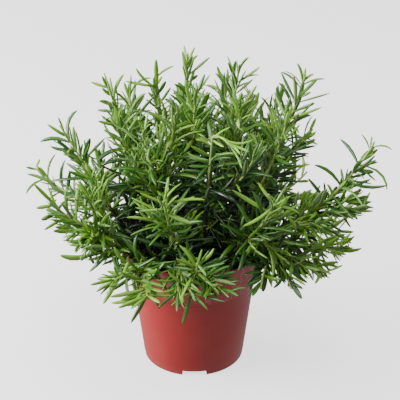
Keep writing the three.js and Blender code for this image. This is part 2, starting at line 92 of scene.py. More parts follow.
class Value:
    """A shader output that adds Math nodes when Python's operators are used on it."""

    def __init__(self, book: "NodeBook", output: Socket) -> None:
        """Wraps an output, and keeps its material's book, to which Math nodes are added."""
        self.book = book
        self.output = output

    def _math(self, operation: str, first: "Value | float", second: "Value | float") -> "Value":
        """The result of a new Math node with two inputs."""
        node = self.book.node("ShaderNodeMath", {"operation": operation}, {0: first, 1: second})
        return Value(self.book, node.outputs[0])

    def __add__(self, other: "Value | float") -> "Value":
        """self + other."""
        return self._math("ADD", self, other)

    def __radd__(self, other: float) -> "Value":
        """other + self."""
        return self._math("ADD", other, self)

    def __sub__(self, other: "Value | float") -> "Value":
        """self - other."""
        return self._math("SUBTRACT", self, other)

    def __rsub__(self, other: float) -> "Value":
        """other - self."""
        return self._math("SUBTRACT", other, self)

    def __mul__(self, other: "Value | float") -> "Value":
        """self * other."""
        return self._math("MULTIPLY", self, other)

    def __rmul__(self, other: float) -> "Value":
        """other * self."""
        return self._math("MULTIPLY", other, self)

    def __abs__(self) -> "Value":
        """The size of self without its sign."""
        return self._math("ABSOLUTE", self, 0.0)

    def step(self, low: float, high: float) -> "Value":
        """A smooth step.

        Args:
            low: Where the step starts.
            high: Where it ends. It may be below low, for a step down.

        Returns:
            0 before the step and 1 after it, or the other way round for a step down.
        """
        before = 1.0 if high < low else 0.0
        inputs = {
            "Value": self,
            "From Min": min(low, high),
            "From Max": max(low, high),
            "To Min": before,
            "To Max": 1.0 - before,
        }
        node = self.book.node("ShaderNodeMapRange", {"interpolation_type": "SMOOTHSTEP"}, inputs)
        return Value(self.book, node.outputs["Result"])


class NodeBook:
    """One material and the nodes in it."""

    def __init__(self, name: str) -> None:
        """Starts a material with a Principled shader.

        Args:
            name: The material's name.
        """
        self.material = bpy.data.materials.new(name)
        self.material.use_nodes = True
        self.tree = self.material.node_tree
        self.shader = self.tree.nodes["Principled BSDF"]

    def node(self, kind: str, settings: dict | None = None, inputs: dict | None = None) -> bpy.types.Node:
        """Adds a node.

        Args:
            kind: The node's type.
            settings: Its properties, which are set first.
            inputs: Values or links for its sockets, by name or number.

        Returns:
            The new node.
        """
        node = self.tree.nodes.new(kind)
        for key, value in (settings or {}).items():
            setattr(node, key, value)
        for key, value in (inputs or {}).items():
            self.feed(node.inputs[key], value)
        return node

    def feed(self, socket: Socket, value: object) -> None:
        """Sets or links one input.

        Args:
            socket: The input.
            value: A Value or an output to link, or a plain value to set.
        """
        if isinstance(value, Value):
            self.tree.links.new(value.output, socket)
        elif isinstance(value, Socket):
            self.tree.links.new(value, socket)
        elif socket.type == "RGBA" and len(value) == 3:
            socket.default_value = (*value, 1.0)
        else:
            socket.default_value = value

    def set_shader(self, **inputs: object) -> Material:
        """Feeds the Principled shader.

        Args:
            **inputs: Values by socket name, with _ for a space.

        Returns:
            The finished material.
        """
        for key, value in inputs.items():
            self.feed(self.shader.inputs[key.replace("_", " ")], value)
        return self.material

    def attribute(self, name: str) -> tuple[Value, Value, Value]:
        """The three numbers of a colour attribute.

        Args:
            name: The attribute's name.

        Returns:
            Its red, green and blue parts.
        """
        node = self.node("ShaderNodeAttribute", {"attribute_name": name})
        parts = self.node("ShaderNodeSeparateColor", inputs={"Color": node.outputs["Color"]})
        return tuple(Value(self, parts.outputs[i]) for i in range(3))

    def uv(self) -> tuple[Value, Value]:
        """The piece's own UV coordinates.

        Returns:
            The one across and the one along.
        """
        node = self.node("ShaderNodeUVMap")
        parts = self.node("ShaderNodeSeparateXYZ", inputs={"Vector": node.outputs["UV"]})
        return Value(self, parts.outputs["X"]), Value(self, parts.outputs["Y"])

    def place(self) -> Socket:
        """The place on the piece, in metres."""
        return self.node("ShaderNodeTexCoord").outputs["Object"]

    def height(self) -> Value:
        """The height above the ground, in metres."""
        parts = self.node("ShaderNodeSeparateXYZ", inputs={"Vector": self.place()})
        return Value(self, parts.outputs["Z"])

    def mottle(self, scale: float, detail: float = 2.0, stretch: Colour = (1, 1, 1)) -> Value:
        """Soft noise.

        Args:
            scale: Its spots per metre.
            detail: Its finer octaves.
            stretch: How much the spots are squeezed along X, Y and Z.

        Returns:
            The noise, from 0 to 1.
        """
        place = self.node("ShaderNodeMapping", inputs={"Vector": self.place(), "Scale": stretch})
        inputs = {"Vector": place.outputs["Vector"], "Scale": scale, "Detail": detail}
        return Value(self, self.node("ShaderNodeTexNoise", inputs=inputs).outputs["Fac"])

    def mix(self, share: Value | float, one: object, two: object) -> Socket:
        """A colour between two, by a share that is 0 for the first and 1 for the second."""
        settings = {"data_type": "RGBA", "clamp_factor": True}
        return self.node("ShaderNodeMix", settings, {0: share, 6: one, 7: two}).outputs[2]

    def shade(self, colour: object, brightness: Value) -> Socket:
        """A colour made brighter or darker, by a factor."""
        node = self.node("ShaderNodeVectorMath", {"operation": "SCALE"}, {0: colour, "Scale": brightness})
        return node.outputs["Vector"]

    def bump(self, height: Value, distance: float, strength: float = 1.0) -> Socket:
        """The normal of a small relief from 0 to 1, where distance is how high 1 is."""
        inputs = {"Height": height, "Distance": distance, "Strength": strength}
        return self.node("ShaderNodeBump", inputs=inputs).outputs["Normal"]


# ---- finishes


@dataclass(frozen=True)
class PotPlastic:
    """Brick red pot plastic: softly glossy, a little uneven, dusty at the foot, with light pink streaks of
    painted reflection on the collar.

    A pair of heights, or of ages below, gives where a change starts and where it ends.
    """

    colour: Colour = (0.45, 0.035, 0.033)
    worn: Colour = (0.50, 0.066, 0.057)
    dust: Colour = (0.42, 0.20, 0.15)
    mark: Colour = (0.66, 0.24, 0.22)
    roughness: float = 0.34
    dusty: Pair = (0.012, 0.0)
    splashed: Pair = (0.074, 0.082)
    relief_depth: float = 0.0004

    def build(self) -> Material:
        """Makes the material.

        Returns:
            The material.
        """
        book = NodeBook("brick_red_plastic")
        cloud = book.mottle(22.0, 3.0)
        flow = book.mottle(60.0, 2.0, (1, 1, 0.12))
        grain = book.mottle(2600.0, 1.0)
        speck = book.mottle(900.0, 1.0).step(0.70, 0.78)
        foot = book.height().step(*self.dusty)
        base = book.mix(cloud.step(0.42, 0.72) * 0.55, self.colour, self.worn)
        base = book.mix(speck * 0.22 + foot * 0.25 * cloud, base, self.dust)
        # painted reflection: light pink streaks on the collar, where the glossy plastic would mirror the
        # leaves above
        painted_reflection_streaks = book.mottle(300.0, 3.0, (1, 1, 0.35)).step(0.51, 0.62)
        base = book.mix(painted_reflection_streaks * book.height().step(*self.splashed) * 0.4, base, self.mark)
        relief = flow * 0.5 + grain * 0.12 + cloud * 0.6
        return book.set_shader(
            Base_Color=base,
            Roughness=self.roughness + (cloud - 0.5) * 0.16 + speck * 0.1,
            Normal=book.bump(relief, self.relief_depth, 0.35),
            Coat_Weight=0.25,
            Coat_Roughness=0.3,
        )


@dataclass(frozen=True)
class PeatSoil:
    """Dark moist peat with lighter fibres and bark."""

    dark: Colour = (0.018, 0.011, 0.007)
    light: Colour = (0.085, 0.050, 0.028)
    fibre: Colour = (0.20, 0.13, 0.075)
    relief_depth: float = 0.0015

    def build(self) -> Material:
        """Makes the material.

        Returns:
            The material.
        """
        book = NodeBook("moist_peat")
        lumps = book.mottle(180.0, 4.0)
        grains = book.mottle(900.0, 3.0)
        fibres = book.mottle(700.0, 1.0, (1, 0.15, 1)).step(0.64, 0.72)
        base = book.mix(lumps.step(0.35, 0.7), self.dark, self.light)
        base = book.mix(fibres * 0.5, base, self.fibre)
        return book.set_shader(
            Base_Color=base,
            Roughness=0.72 + grains * 0.25,
            Normal=book.bump(lumps * 0.6 + grains * 0.5, self.relief_depth, 0.9),
        )


@dataclass(frozen=True)
class LeafFinish:
    """Rosemary leaf: glossy green above with a groove, pale and felted below, yellower when young.

    The attribute "leaf" holds a leaf's age, which passes 1 where it lies deep in the plant and there paints
    shade, its own tint, and whether the face is its underside. Past 1 the leaf takes a near black painted
    shade colour.
    """

    young: Colour = (0.170, 0.350, 0.030)
    grown: Colour = (0.050, 0.155, 0.013)
    old: Colour = (0.024, 0.090, 0.011)
    # painted shade: the near black green of leaves that lie deep in the plant
    deep: Colour = (0.006, 0.028, 0.004)
    felt: Colour = (0.24, 0.36, 0.13)
    rib: Colour = (0.17, 0.31, 0.08)
    dry: Colour = (0.30, 0.24, 0.07)
    grown_ages: Pair = (0.0, 0.55)
    old_ages: Pair = (0.5, 1.0)
    deep_ages: Pair = (0.95, 1.6)
    dry_tip: Pair = (0.93, 1.0)
    roughness: float = 0.27
    relief_depth: float = 0.0003

    def build(self) -> Material:
        """Makes the material.

        Returns:
            The material.
        """
        book = NodeBook("rosemary_leaf")
        age, tint, under = book.attribute("leaf")
        across, along = book.uv()
        off_centre = abs(across - 0.5) * 2.0
        mottle = book.mottle(420.0, 2.0)
        base = book.mix(age.step(*self.grown_ages), self.young, self.grown)
        base = book.mix(age.step(*self.old_ages), base, self.old)
        # painted shade darkens the groove along the middle of the upper side
        groove = off_centre.step(0.30, 0.0)
        # painted highlight lightens the leaf's edges
        painted_edge_highlight = off_centre.step(0.80, 1.0)
        base = book.shade(base, 0.78 + tint * 0.5 + mottle * 0.22 - groove * 0.22 + painted_edge_highlight * 0.12)
        base = book.mix(along.step(*self.dry_tip) * tint.step(0.45, 0.9) * 0.7, base, self.dry)
        below = book.mix(off_centre.step(0.34, 0.12), self.felt, self.rib)
        below = book.shade(below, 0.72 + tint * 0.4 + mottle * 0.2)
        base = book.mix(under * (0.45 + age.step(0.0, 1.0) * 0.4), base, below)
        # painted shade: where the age passes 1, deep in the plant, the leaf turns near black green
        base = book.mix(age.step(*self.deep_ages) * 0.9, base, self.deep)
        relief = mottle * 0.35 + off_centre.step(0.0, 0.5) * 0.65
        return book.set_shader(
            Base_Color=base,
            Roughness=self.roughness + mottle * 0.12 + under * 0.36,
            Normal=book.bump(relief, self.relief_depth, 0.6),
            Specular_IOR_Level=0.7,
        )


@dataclass(frozen=True)
class StemFinish:
    """Rosemary stem: yellow-green and downy at the tip, woody and then dark bark towards the soil, darkened
    there partly as painted shade.

    The attribute "stem" holds its age, from 0 at the tip to 1 at the soil.
    """

    tip: Colour = (0.38, 0.50, 0.13)
    middle: Colour = (0.31, 0.40, 0.11)
    wood: Colour = (0.17, 0.13, 0.065)
    bark: Colour = (0.035, 0.026, 0.016)
    relief_depth: float = 0.0005

    def build(self) -> Material:
        """Makes the material.

        Returns:
            The material.
        """
        book = NodeBook("rosemary_stem")
        age, _, _ = book.attribute("stem")
        grain = book.mottle(900.0, 3.0, (1, 1, 0.25))
        patch = book.mottle(160.0, 2.0)
        ripe = age + (patch - 0.5) * 0.35
        base = book.mix(ripe.step(0.1, 0.4), self.tip, self.middle)
        # towards the soil the wood and bark are darker, partly as painted shade for the low stems that lie
        # in shade
        base = book.mix(ripe.step(0.35, 0.55), base, self.wood)
        base = book.mix(ripe.step(0.5, 0.75), base, self.bark)
        base = book.shade(base, 0.7 + grain * 0.6)
        return book.set_shader(
            Base_Color=base,
            Roughness=0.62 + grain * 0.2,
            Normal=book.bump(grain, self.relief_depth, 0.7),
        )


@dataclass(frozen=True)
class PaleFloor:
    """The plain pale lit surface that the pot stands on."""

    colour: Colour = (0.45, 0.45, 0.45)
    glow: float = 1.7

    def build(self) -> Material:
        """Makes the material.

        Returns:
            The material.
        """
        book = NodeBook("pale_floor")
        return book.set_shader(
            Base_Color=self.colour, Roughness=0.95, Emission_Color=(1, 1, 1), Emission_Strength=self.glow
        )


# ---- modelling by hand


def deselect_all() -> None:
    """Leaves nothing selected."""
    if bpy.context.object is not None and bpy.context.object.mode != "OBJECT":
        bpy.ops.object.mode_set(mode="OBJECT")
    bpy.ops.object.select_all(action="DESELECT")


def make_active(piece: Piece) -> None:
    """Selects one object alone.

    Args:
        piece: The object.
    """
    deselect_all()
    piece.select_set(True)
    bpy.context.view_layer.objects.active = piece


@contextmanager
def editing(piece: Piece) -> Iterator[None]:
    """Edit mode on one object.

    Args:
        piece: The object.
    """
    make_active(piece)
    bpy.ops.object.mode_set(mode="EDIT")
    yield
    bpy.ops.object.mode_set(mode="OBJECT")


def select_where(piece: Piece, test: Callable[[Vector], bool]) -> None:
    """In edit mode, selects the vertices that pass a test and the edges and faces between them.

    Args:
        piece: The object in edit mode.
        test: Takes a vertex's place.
    """
    mesh = bmesh.from_edit_mesh(piece.data)
    for item in (*mesh.verts, *mesh.edges, *mesh.faces):
        item.select = False
    for vertex in mesh.verts:
        vertex.select = test(vertex.co)
    mesh.select_flush_mode()
    mesh.select_flush(True)
    bmesh.update_edit_mesh(piece.data)


def name_active(name: str) -> Piece:
    """Names the newest primitive.

    Args:
        name: The name for the object and its mesh.

    Returns:
        The object.
    """
    piece = bpy.context.object
    piece.name = name
    piece.data.name = name
    return piece


def settle(piece: Piece) -> None:
    """Moves a piece's place, turn and scale into its mesh."""
    make_active(piece)
    bpy.ops.object.transform_apply(location=True, rotation=True, scale=True)


def turned_piece(name: str, outline: Outline, sides: int) -> Piece:
    """A ring that is extruded and resized along an outline, and closed at both ends.

    Args:
        name: The piece's name.
        outline: Pairs of radius and height, from the underside round the outside to the inside.
        sides: The ring's vertices.

    Returns:
        The closed piece.
    """
    deselect_all()
    radius, height = outline[0]
    bpy.ops.mesh.primitive_circle_add(vertices=sides, radius=radius, location=(0, 0, height))
    piece = name_active(name)
    settle(piece)
    with editing(piece):
        bpy.ops.mesh.select_all(action="SELECT")
        bpy.ops.mesh.edge_face_add()
        select_ring_edges(piece)
        for next_radius, next_height in outline[1:]:
            move = {"value": (0, 0, next_height - height)}
            bpy.ops.mesh.extrude_edges_move(TRANSFORM_OT_translate=move)
            share = next_radius / radius
            bpy.ops.transform.resize(value=(share, share, 1), center_override=(0, 0, next_height))
            radius, height = next_radius, next_height
        bpy.ops.mesh.edge_face_add()
        bpy.ops.mesh.select_all(action="SELECT")
        bpy.ops.mesh.normals_make_consistent(inside=False)
    return piece


def select_ring_edges(piece: Piece) -> None:
    """In edit mode, selects all edges and no face.

    Args:
        piece: The object in edit mode.
    """
    bpy.ops.mesh.select_mode(type="EDGE")
    mesh = bmesh.from_edit_mesh(piece.data)
    for face in mesh.faces:
        face.select = False
    for edge in mesh.edges:
        edge.select = True
    bmesh.update_edit_mesh(piece.data)


def cut_away(piece: Piece, cutter: Piece) -> None:
    """Cuts a tool's shape out of a piece and removes the tool.

    Args:
        piece: The piece.
        cutter: The tool.
    """
    make_active(piece)
    cut = piece.modifiers.new("cut", "BOOLEAN")
    cut.operation = "DIFFERENCE"
    cut.solver = "EXACT"
    cut.object = cutter
    bpy.ops.object.modifier_apply(modifier=cut.name)
    bpy.data.objects.remove(cutter, do_unlink=True)


def finish_piece(piece: Piece, material: Material, slot: str, *nodes: str) -> None:
    """Dresses a piece and lets it ride on the plant.

    Args:
        piece: The piece.
        material: Its material.
        slot: A material slot's name; not used.
        *nodes: The CAD nodes that it stands for.
    """
    piece.data.materials.clear()
    piece.data.materials.append(material)
    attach(piece, BODY)
    if nodes:
        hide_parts(*nodes)
    LOG.info("%s: %d faces", piece.name, len(piece.data.polygons))


def arc(centre: Pair, radius: float, start: float, end: float, steps: int) -> Outline:
    """Points on an arc round a centre, from its start angle to its end angle in equal steps."""
    angles = [math.radians(start + (end - start) * i / steps) for i in range(steps + 1)]
    return [(centre[0] + radius * math.cos(a), centre[1] + radius * math.sin(a)) for a in angles]


# ---- pot


@dataclass
class NurseryPot:
    """A thin plastic pot with a deep flared collar, a rounded lip, and a foot ring with notches."""

    height: float = 0.113
    rim_radius: float = 0.065
    collar_height: float = 0.035
    collar_step: float = 0.0028
    collar_corner: float = 0.0008
    lip_flare: float = 0.0006
    lip_height: float = 0.0024
    foot_radius: float = 0.043
    wall_slope: float = 0.124
    wall: float = 0.0018
    floor_underside: float = 0.0056
    notch_height: float = 0.0047
    notch_width_at_ground: float = 0.0227
    notch_width_at_top: float = 0.0197
    notch_count: int = 4
    first_notch_heading: float = 271
    drain_radius: float = 0.004
    drain_ring_radius: float = 0.027
    drain_count: int = 6
    drain_sides: int = 24
    centre_radius: float = 0.004
    sides: int = 128
    crease: float = 38

    CUTTER_REACH = 0.014
    LIP_STEPS = 6

    @property
    def step(self) -> float:
        """The height of the collar's underside."""
        return self.height - self.collar_height

    @property
    def ledge(self) -> float:
        """The height of the ledge inside, where the wall meets the collar."""
        return self.step + self.wall

    def wall_radius(self, height: float) -> float:
        """The radius of the outside of the wall at a height."""
        return self.foot_radius + self.wall_slope * height

    def outer_radius(self, height: float | Array) -> float | Array:
        """The radius of the outside of the wall and the collar.

        Args:
            height: One height or many.

        Returns:
            One radius or many.
        """
        collar = self.wall_radius(self.step) + self.collar_step
        lip = self.rim_radius - self.lip_flare
        collar_low, collar_high = self.step + self.collar_corner, self.height - self.lip_height
        heights = (0, self.step, collar_low, collar_high, self.height)
        radii = (self.foot_radius, self.wall_radius(self.step), collar, lip, self.rim_radius)
        return np.interp(height, heights, radii)

    def inner_radius(self, height: float | Array) -> float | Array:
        """The radius of the inside of the wall and the collar.

        Args:
            height: One height or many.

        Returns:
            One radius or many.
        """
        heights = (0, self.ledge, self.ledge + self.collar_corner, self.height - self.lip_flare)
        radii = (
            self.foot_radius - self.wall,
            self.wall_radius(self.ledge) - self.wall,
            self.wall_radius(self.step) + self.collar_step - self.wall,
            self.rim_radius - self.lip_flare - self.wall,
        )
        return np.interp(height, heights, radii)

    def outline(self) -> Outline:
        """The pot's section.

        Returns:
            It, from the underside of the floor round the outside to the top of the floor.
        """
        under = self.floor_underside
        top = under + self.wall
        collar = self.outer_radius(self.step + self.collar_corner)
        inside = self.ledge + self.collar_corner
        lip = self.wall / 2
        lip_centre = (self.rim_radius - lip, self.height - lip)
        below_lip = self.height - 0.0034
        mid_collar = 0.095
        return [
            # the floor's underside and the foot ring
            (self.centre_radius, under),
            (self.inner_radius(under) - 0.001, under),
            (self.inner_radius(under) - 0.0002, under - 0.0006),
            (self.inner_radius(0.0005), 0.0005),
            (self.inner_radius(0) + 0.0004, 0.0),
            (self.foot_radius - 0.0006, 0.0),
            (self.foot_radius - 0.0001, 0.0004),
            # the wall's outside, up to the collar's underside
            (self.wall_radius(0.0014), 0.0014),
            (self.wall_radius(0.03), 0.03),
            (self.wall_radius(0.06), 0.06),
            (self.wall_radius(self.step - 0.0014), self.step - 0.0014),
            (self.wall_radius(self.step) + 0.0002, self.step - 0.0004),
            (self.wall_radius(self.step) + 0.0008, self.step),
            # the collar and the lip
            (collar - 0.0007, self.step + 0.0001),
            (collar - 0.0002, self.step + 0.0005),
            (collar + 0.0001, self.step + 0.0012),
            (self.outer_radius(mid_collar), mid_collar),
            (self.outer_radius(below_lip), below_lip),
            (self.rim_radius - 0.0003, self.height - 0.0020),
            *arc(lip_centre, lip, 0, 180, self.LIP_STEPS),
            # the inside, down to the floor
            (self.inner_radius(below_lip) + 0.0002, below_lip),
            (self.inner_radius(mid_collar), mid_collar),
            (self.inner_radius(inside + 0.0008), inside + 0.0008),
            (self.inner_radius(inside) - 0.0006, inside - 0.0002),
            (self.inner_radius(self.ledge) + 0.0006, self.ledge + 0.0002),
            (self.inner_radius(self.ledge - 0.0008), self.ledge - 0.0008),
            (self.inner_radius(0.05), 0.05),
            (self.inner_radius(top + 0.003), top + 0.003),
            (self.inner_radius(top) - 0.002, top),
            (self.centre_radius, top),
        ]

    def build(self, plastic: PotPlastic) -> None:
        """Models, cuts and dresses the pot.

        Args:
            plastic: Its finish.
        """
        pot = turned_piece("nursery_pot", self.outline(), self.sides)
        for i in range(self.notch_count):
            cut_away(pot, self.notch_cutter(self.first_notch_heading + 360 / self.notch_count * i))
        for i in range(self.drain_count):
            cut_away(pot, self.drain_cutter(360 / self.drain_count * i))
        make_active(pot)
        bpy.ops.object.shade_smooth_by_angle(angle=math.radians(self.crease))
        finish_piece(pot, plastic.build(), "pot", "pot")

    def notch_cutter(self, heading: float) -> Piece:
        """The tool for one foot notch, narrower at its top.

        Args:
            heading: The direction that it looks in.

        Returns:
            The tool.
        """
        deselect_all()
        bpy.ops.mesh.primitive_cube_add(size=1, location=(self.foot_radius, 0, 0))
        cutter = name_active("notch_cutter")
        cutter.scale = (self.CUTTER_REACH, self.notch_width_at_ground, 2 * self.notch_height)
        settle(cutter)
        with editing(cutter):
            select_where(cutter, lambda co: co.z > 0)
            narrower = self.notch_width_at_top / self.notch_width_at_ground
            bpy.ops.transform.resize(value=(1, narrower, 1), center_override=(self.foot_radius, 0, 0))
        cutter.rotation_euler.z = math.radians(heading)
        settle(cutter)
        return cutter

    def drain_cutter(self, heading: float) -> Piece:
        """The tool for one drain hole.

        Args:
            heading: The direction of the hole from the pot's axis.

        Returns:
            The tool.
        """
        deselect_all()
        turn = math.radians(heading)
        x, y = self.drain_ring_radius * math.cos(turn), self.drain_ring_radius * math.sin(turn)
        bpy.ops.mesh.primitive_cylinder_add(
            vertices=self.drain_sides,
            radius=self.drain_radius,
            depth=4 * self.wall,
            location=(x, y, self.floor_underside + self.wall / 2),
        )
        cutter = name_active("drain_cutter")
        settle(cutter)
        return cutter


# ---- soil


@dataclass
class PottingSoil:
    """The peat that fills the pot, with crumbs on it."""

    pot: NurseryPot
    edge_height: float = 0.097
    crown: float = 0.003
    shoulder_radius: float = 0.038
    gap: float = 0.00035
    lump_height: float = 0.0012
    lumps_per_metre: float = 130
    grain_height: float = 0.0006
    grains_per_metre: float = 420
    centre_radius: float = 0.006
    rings: int = 26
    sides: int = 96
    crease: float = 60
    crumb_count: int = 520
    crumb_radius: Pair = (0.0006, 0.0019)
    crumb_tilt: float = 0.6
    seed: int = 71

    def surface(self, radius: float | Array) -> float | Array:
        """The soil's height at one or many distances from the pot's axis, before its lumps."""
        share = np.minimum(radius / self.shoulder_radius, 1)
        return self.edge_height + self.crown * (1 - share * share)

    def lump(self, x: float, y: float) -> float:
        """The height of the lumps and grains at a place.

        Args:
            x: The place's x.
            y: The place's y.

        Returns:
            The height that they add to the surface.
        """
        lumps = noise.noise(Vector((x * self.lumps_per_metre, y * self.lumps_per_metre, 0.3)))
        grains = noise.noise(Vector((x * self.grains_per_metre, y * self.grains_per_metre, 4.1)))
        return self.lump_height * lumps + self.grain_height * grains

    def outline(self) -> Outline:
        """The soil's section.

        Returns:
            It, from the underside up the side and in over the top.
        """
        under = self.pot.floor_underside + self.pot.wall + self.gap
        ledge = self.pot.ledge
        corner = ledge + self.pot.collar_corner
        edge = self.pot.inner_radius(self.edge_height) - self.gap
        low = self.pot.inner_radius(under) - self.gap - 0.002
        top = [edge * (1 - i / self.rings) for i in range(1, self.rings)]
        return [
            (self.centre_radius, under),
            (low, under),
            (self.pot.inner_radius(under + 0.003) - self.gap, under + 0.003),
            (self.pot.inner_radius(ledge) - self.gap, ledge + self.gap),
            (self.pot.inner_radius(corner) - self.gap, corner + self.gap),
            (edge - 0.0003, self.edge_height - 0.002),
            (edge - 0.0012, self.edge_height - 0.0004),
            *[(radius, self.surface(radius)) for radius in top],
        ]

    def build(self, peat: PeatSoil) -> None:
        """Models and dresses the soil and its crumbs.

        Args:
            peat: Their finish.
        """
        material = peat.build()
        soil = turned_piece("potting_soil", self.outline(), self.sides)
        for vertex in soil.data.vertices:
            if vertex.co.z > self.edge_height - 0.001:
                vertex.co.z += self.lump(vertex.co.x, vertex.co.y)
        make_active(soil)
        bpy.ops.object.shade_smooth_by_angle(angle=math.radians(self.crease))
        finish_piece(soil, material, "soil", "soil")
        finish_piece(self.crumbs(), material, "soil")

    def crumbs(self) -> Piece:
        """Bits of peat and bark that lie on the soil.

        Returns:
            They, as one piece.
        """
        deselect_all()
        bpy.ops.mesh.primitive_ico_sphere_add(subdivisions=1, radius=1)
        crumb = name_active("soil_crumbs")
        shape = np.array([vertex.co for vertex in crumb.data.vertices])
        faces = np.array([face.vertices for face in crumb.data.polygons])
        draw = random.Random(self.seed)
        points = []
        reach = self.pot.inner_radius(self.edge_height) - 0.004
        for _ in range(self.crumb_count):
            radius = reach * math.sqrt(draw.random())
            turn = draw.uniform(0, 2 * math.pi)
            x, y = radius * math.cos(turn), radius * math.sin(turn)
            size = draw.uniform(*self.crumb_radius)
            squash = np.array([size, size * draw.uniform(0.5, 1), size * draw.uniform(0.4, 0.8)])
            spin = Matrix.Rotation(draw.uniform(0, 2 * math.pi), 3, "Z")
            tilt = Matrix.Rotation(draw.uniform(-self.crumb_tilt, self.crumb_tilt), 3, "X")
            z = self.surface(radius) + self.lump(x, y) + size * 0.2
            points.append((shape * squash) @ np.array(spin @ tilt).T + np.array([x, y, z]))
        every = np.concatenate([faces + len(shape) * i for i in range(self.crumb_count)])
        crumb.data.clear_geometry()
        crumb.data.from_pydata(np.concatenate(points).tolist(), [], every.tolist())
        crumb.data.update()
        return crumb


# ---- the photograph's camera


@dataclass(frozen=True)
class PhotoCamera:
    """The camera of the photograph: it looks along +Y, tilted down, at a place in the plant."""

    target: tuple[float, float, float] = (0.0055, 0.0, 0.148)
    distance: float = 1.3
    elevation: float = 28
    focal_pixels: float = 1552
    frame_pixels: float = 400
    sensor: float = 36

    @property
    def back(self) -> Vector:
        """The way from the target to the camera."""
        slope = math.radians(self.elevation)
        return Vector((0, -math.cos(slope), math.sin(slope)))

    @property
    def up(self) -> Vector:
        """The way that is up in the picture."""
        slope = math.radians(self.elevation)
        return Vector((0, math.sin(slope), math.cos(slope)))

    def depths(self, places: Array) -> Array:
        """How far places are in front of the camera."""
        return self.distance - (places - np.array(self.target)) @ np.array(self.back)

    def pixels(self, places: Array) -> Array:
        """Where places show in the picture.

        Args:
            places: The places, one a row.

        Returns:
            Their pixels, x and y from the picture's top left corner.
        """
        offset = places - np.array(self.target)
        size = self.focal_pixels / self.depths(places)
        half = self.frame_pixels / 2
        return np.stack([half + offset[..., 0] * size, half - offset @ np.array(self.up) * size], axis=-1)

    def place(self, pixel: Pair, depth: float) -> Vector:
        """The place that shows at a pixel.

        Args:
            pixel: The pixel.
            depth: How far the place is in front of the camera.

        Returns:
            The place.
        """
        size = depth / self.focal_pixels
        right = (pixel[0] - self.frame_pixels / 2) * size
        rise = (self.frame_pixels / 2 - pixel[1]) * size
        nearer = self.back * (self.distance - depth)
        return Vector((right, 0, 0)) + self.up * rise + nearer + Vector(self.target)

    def build(self) -> None:
        """Puts the camera in the scene."""
        deselect_all()
        bpy.ops.object.camera_add(location=Vector(self.target) + self.back * self.distance)
        camera = bpy.context.object
        camera.name = "photograph_camera"
        camera.rotation_euler = (-self.back).to_track_quat("-Z", "Y").to_euler()
        camera.data.sensor_width = self.sensor
        camera.data.lens = self.focal_pixels / self.frame_pixels * self.sensor
        bpy.context.scene.camera = camera


# ---- what the photograph shows


class Tone(Enum):
    """How a seen leaf's age differs from that of its neighbours: a young tone is a young leaf, while a
    light or dark tone is painted light or painted shade.
    """

    YOUNG = -1.0
    LIGHT = -0.4
    PLAIN = 0.0
    DARK = 0.5


@dataclass(frozen=True)
class SeenLeaf:
    """A leaf as the photograph shows it, in pixels, with its base on a stem.

    Its bow is how far its middle stands off the line from base to tip, to the left of the way to the tip.
    """

    base: Pair
    tip: Pair
    width: float = 3.0
    bow: float = 0.0
    tone: Tone = Tone.PLAIN


def leaves_seen(*rows: tuple) -> list[SeenLeaf]:
    """Seen leaves from rows: x and y of the base and of the tip, then width, bow and tone if given."""
    return [SeenLeaf(row[:2], row[2:4], *row[4:]) for row in rows]


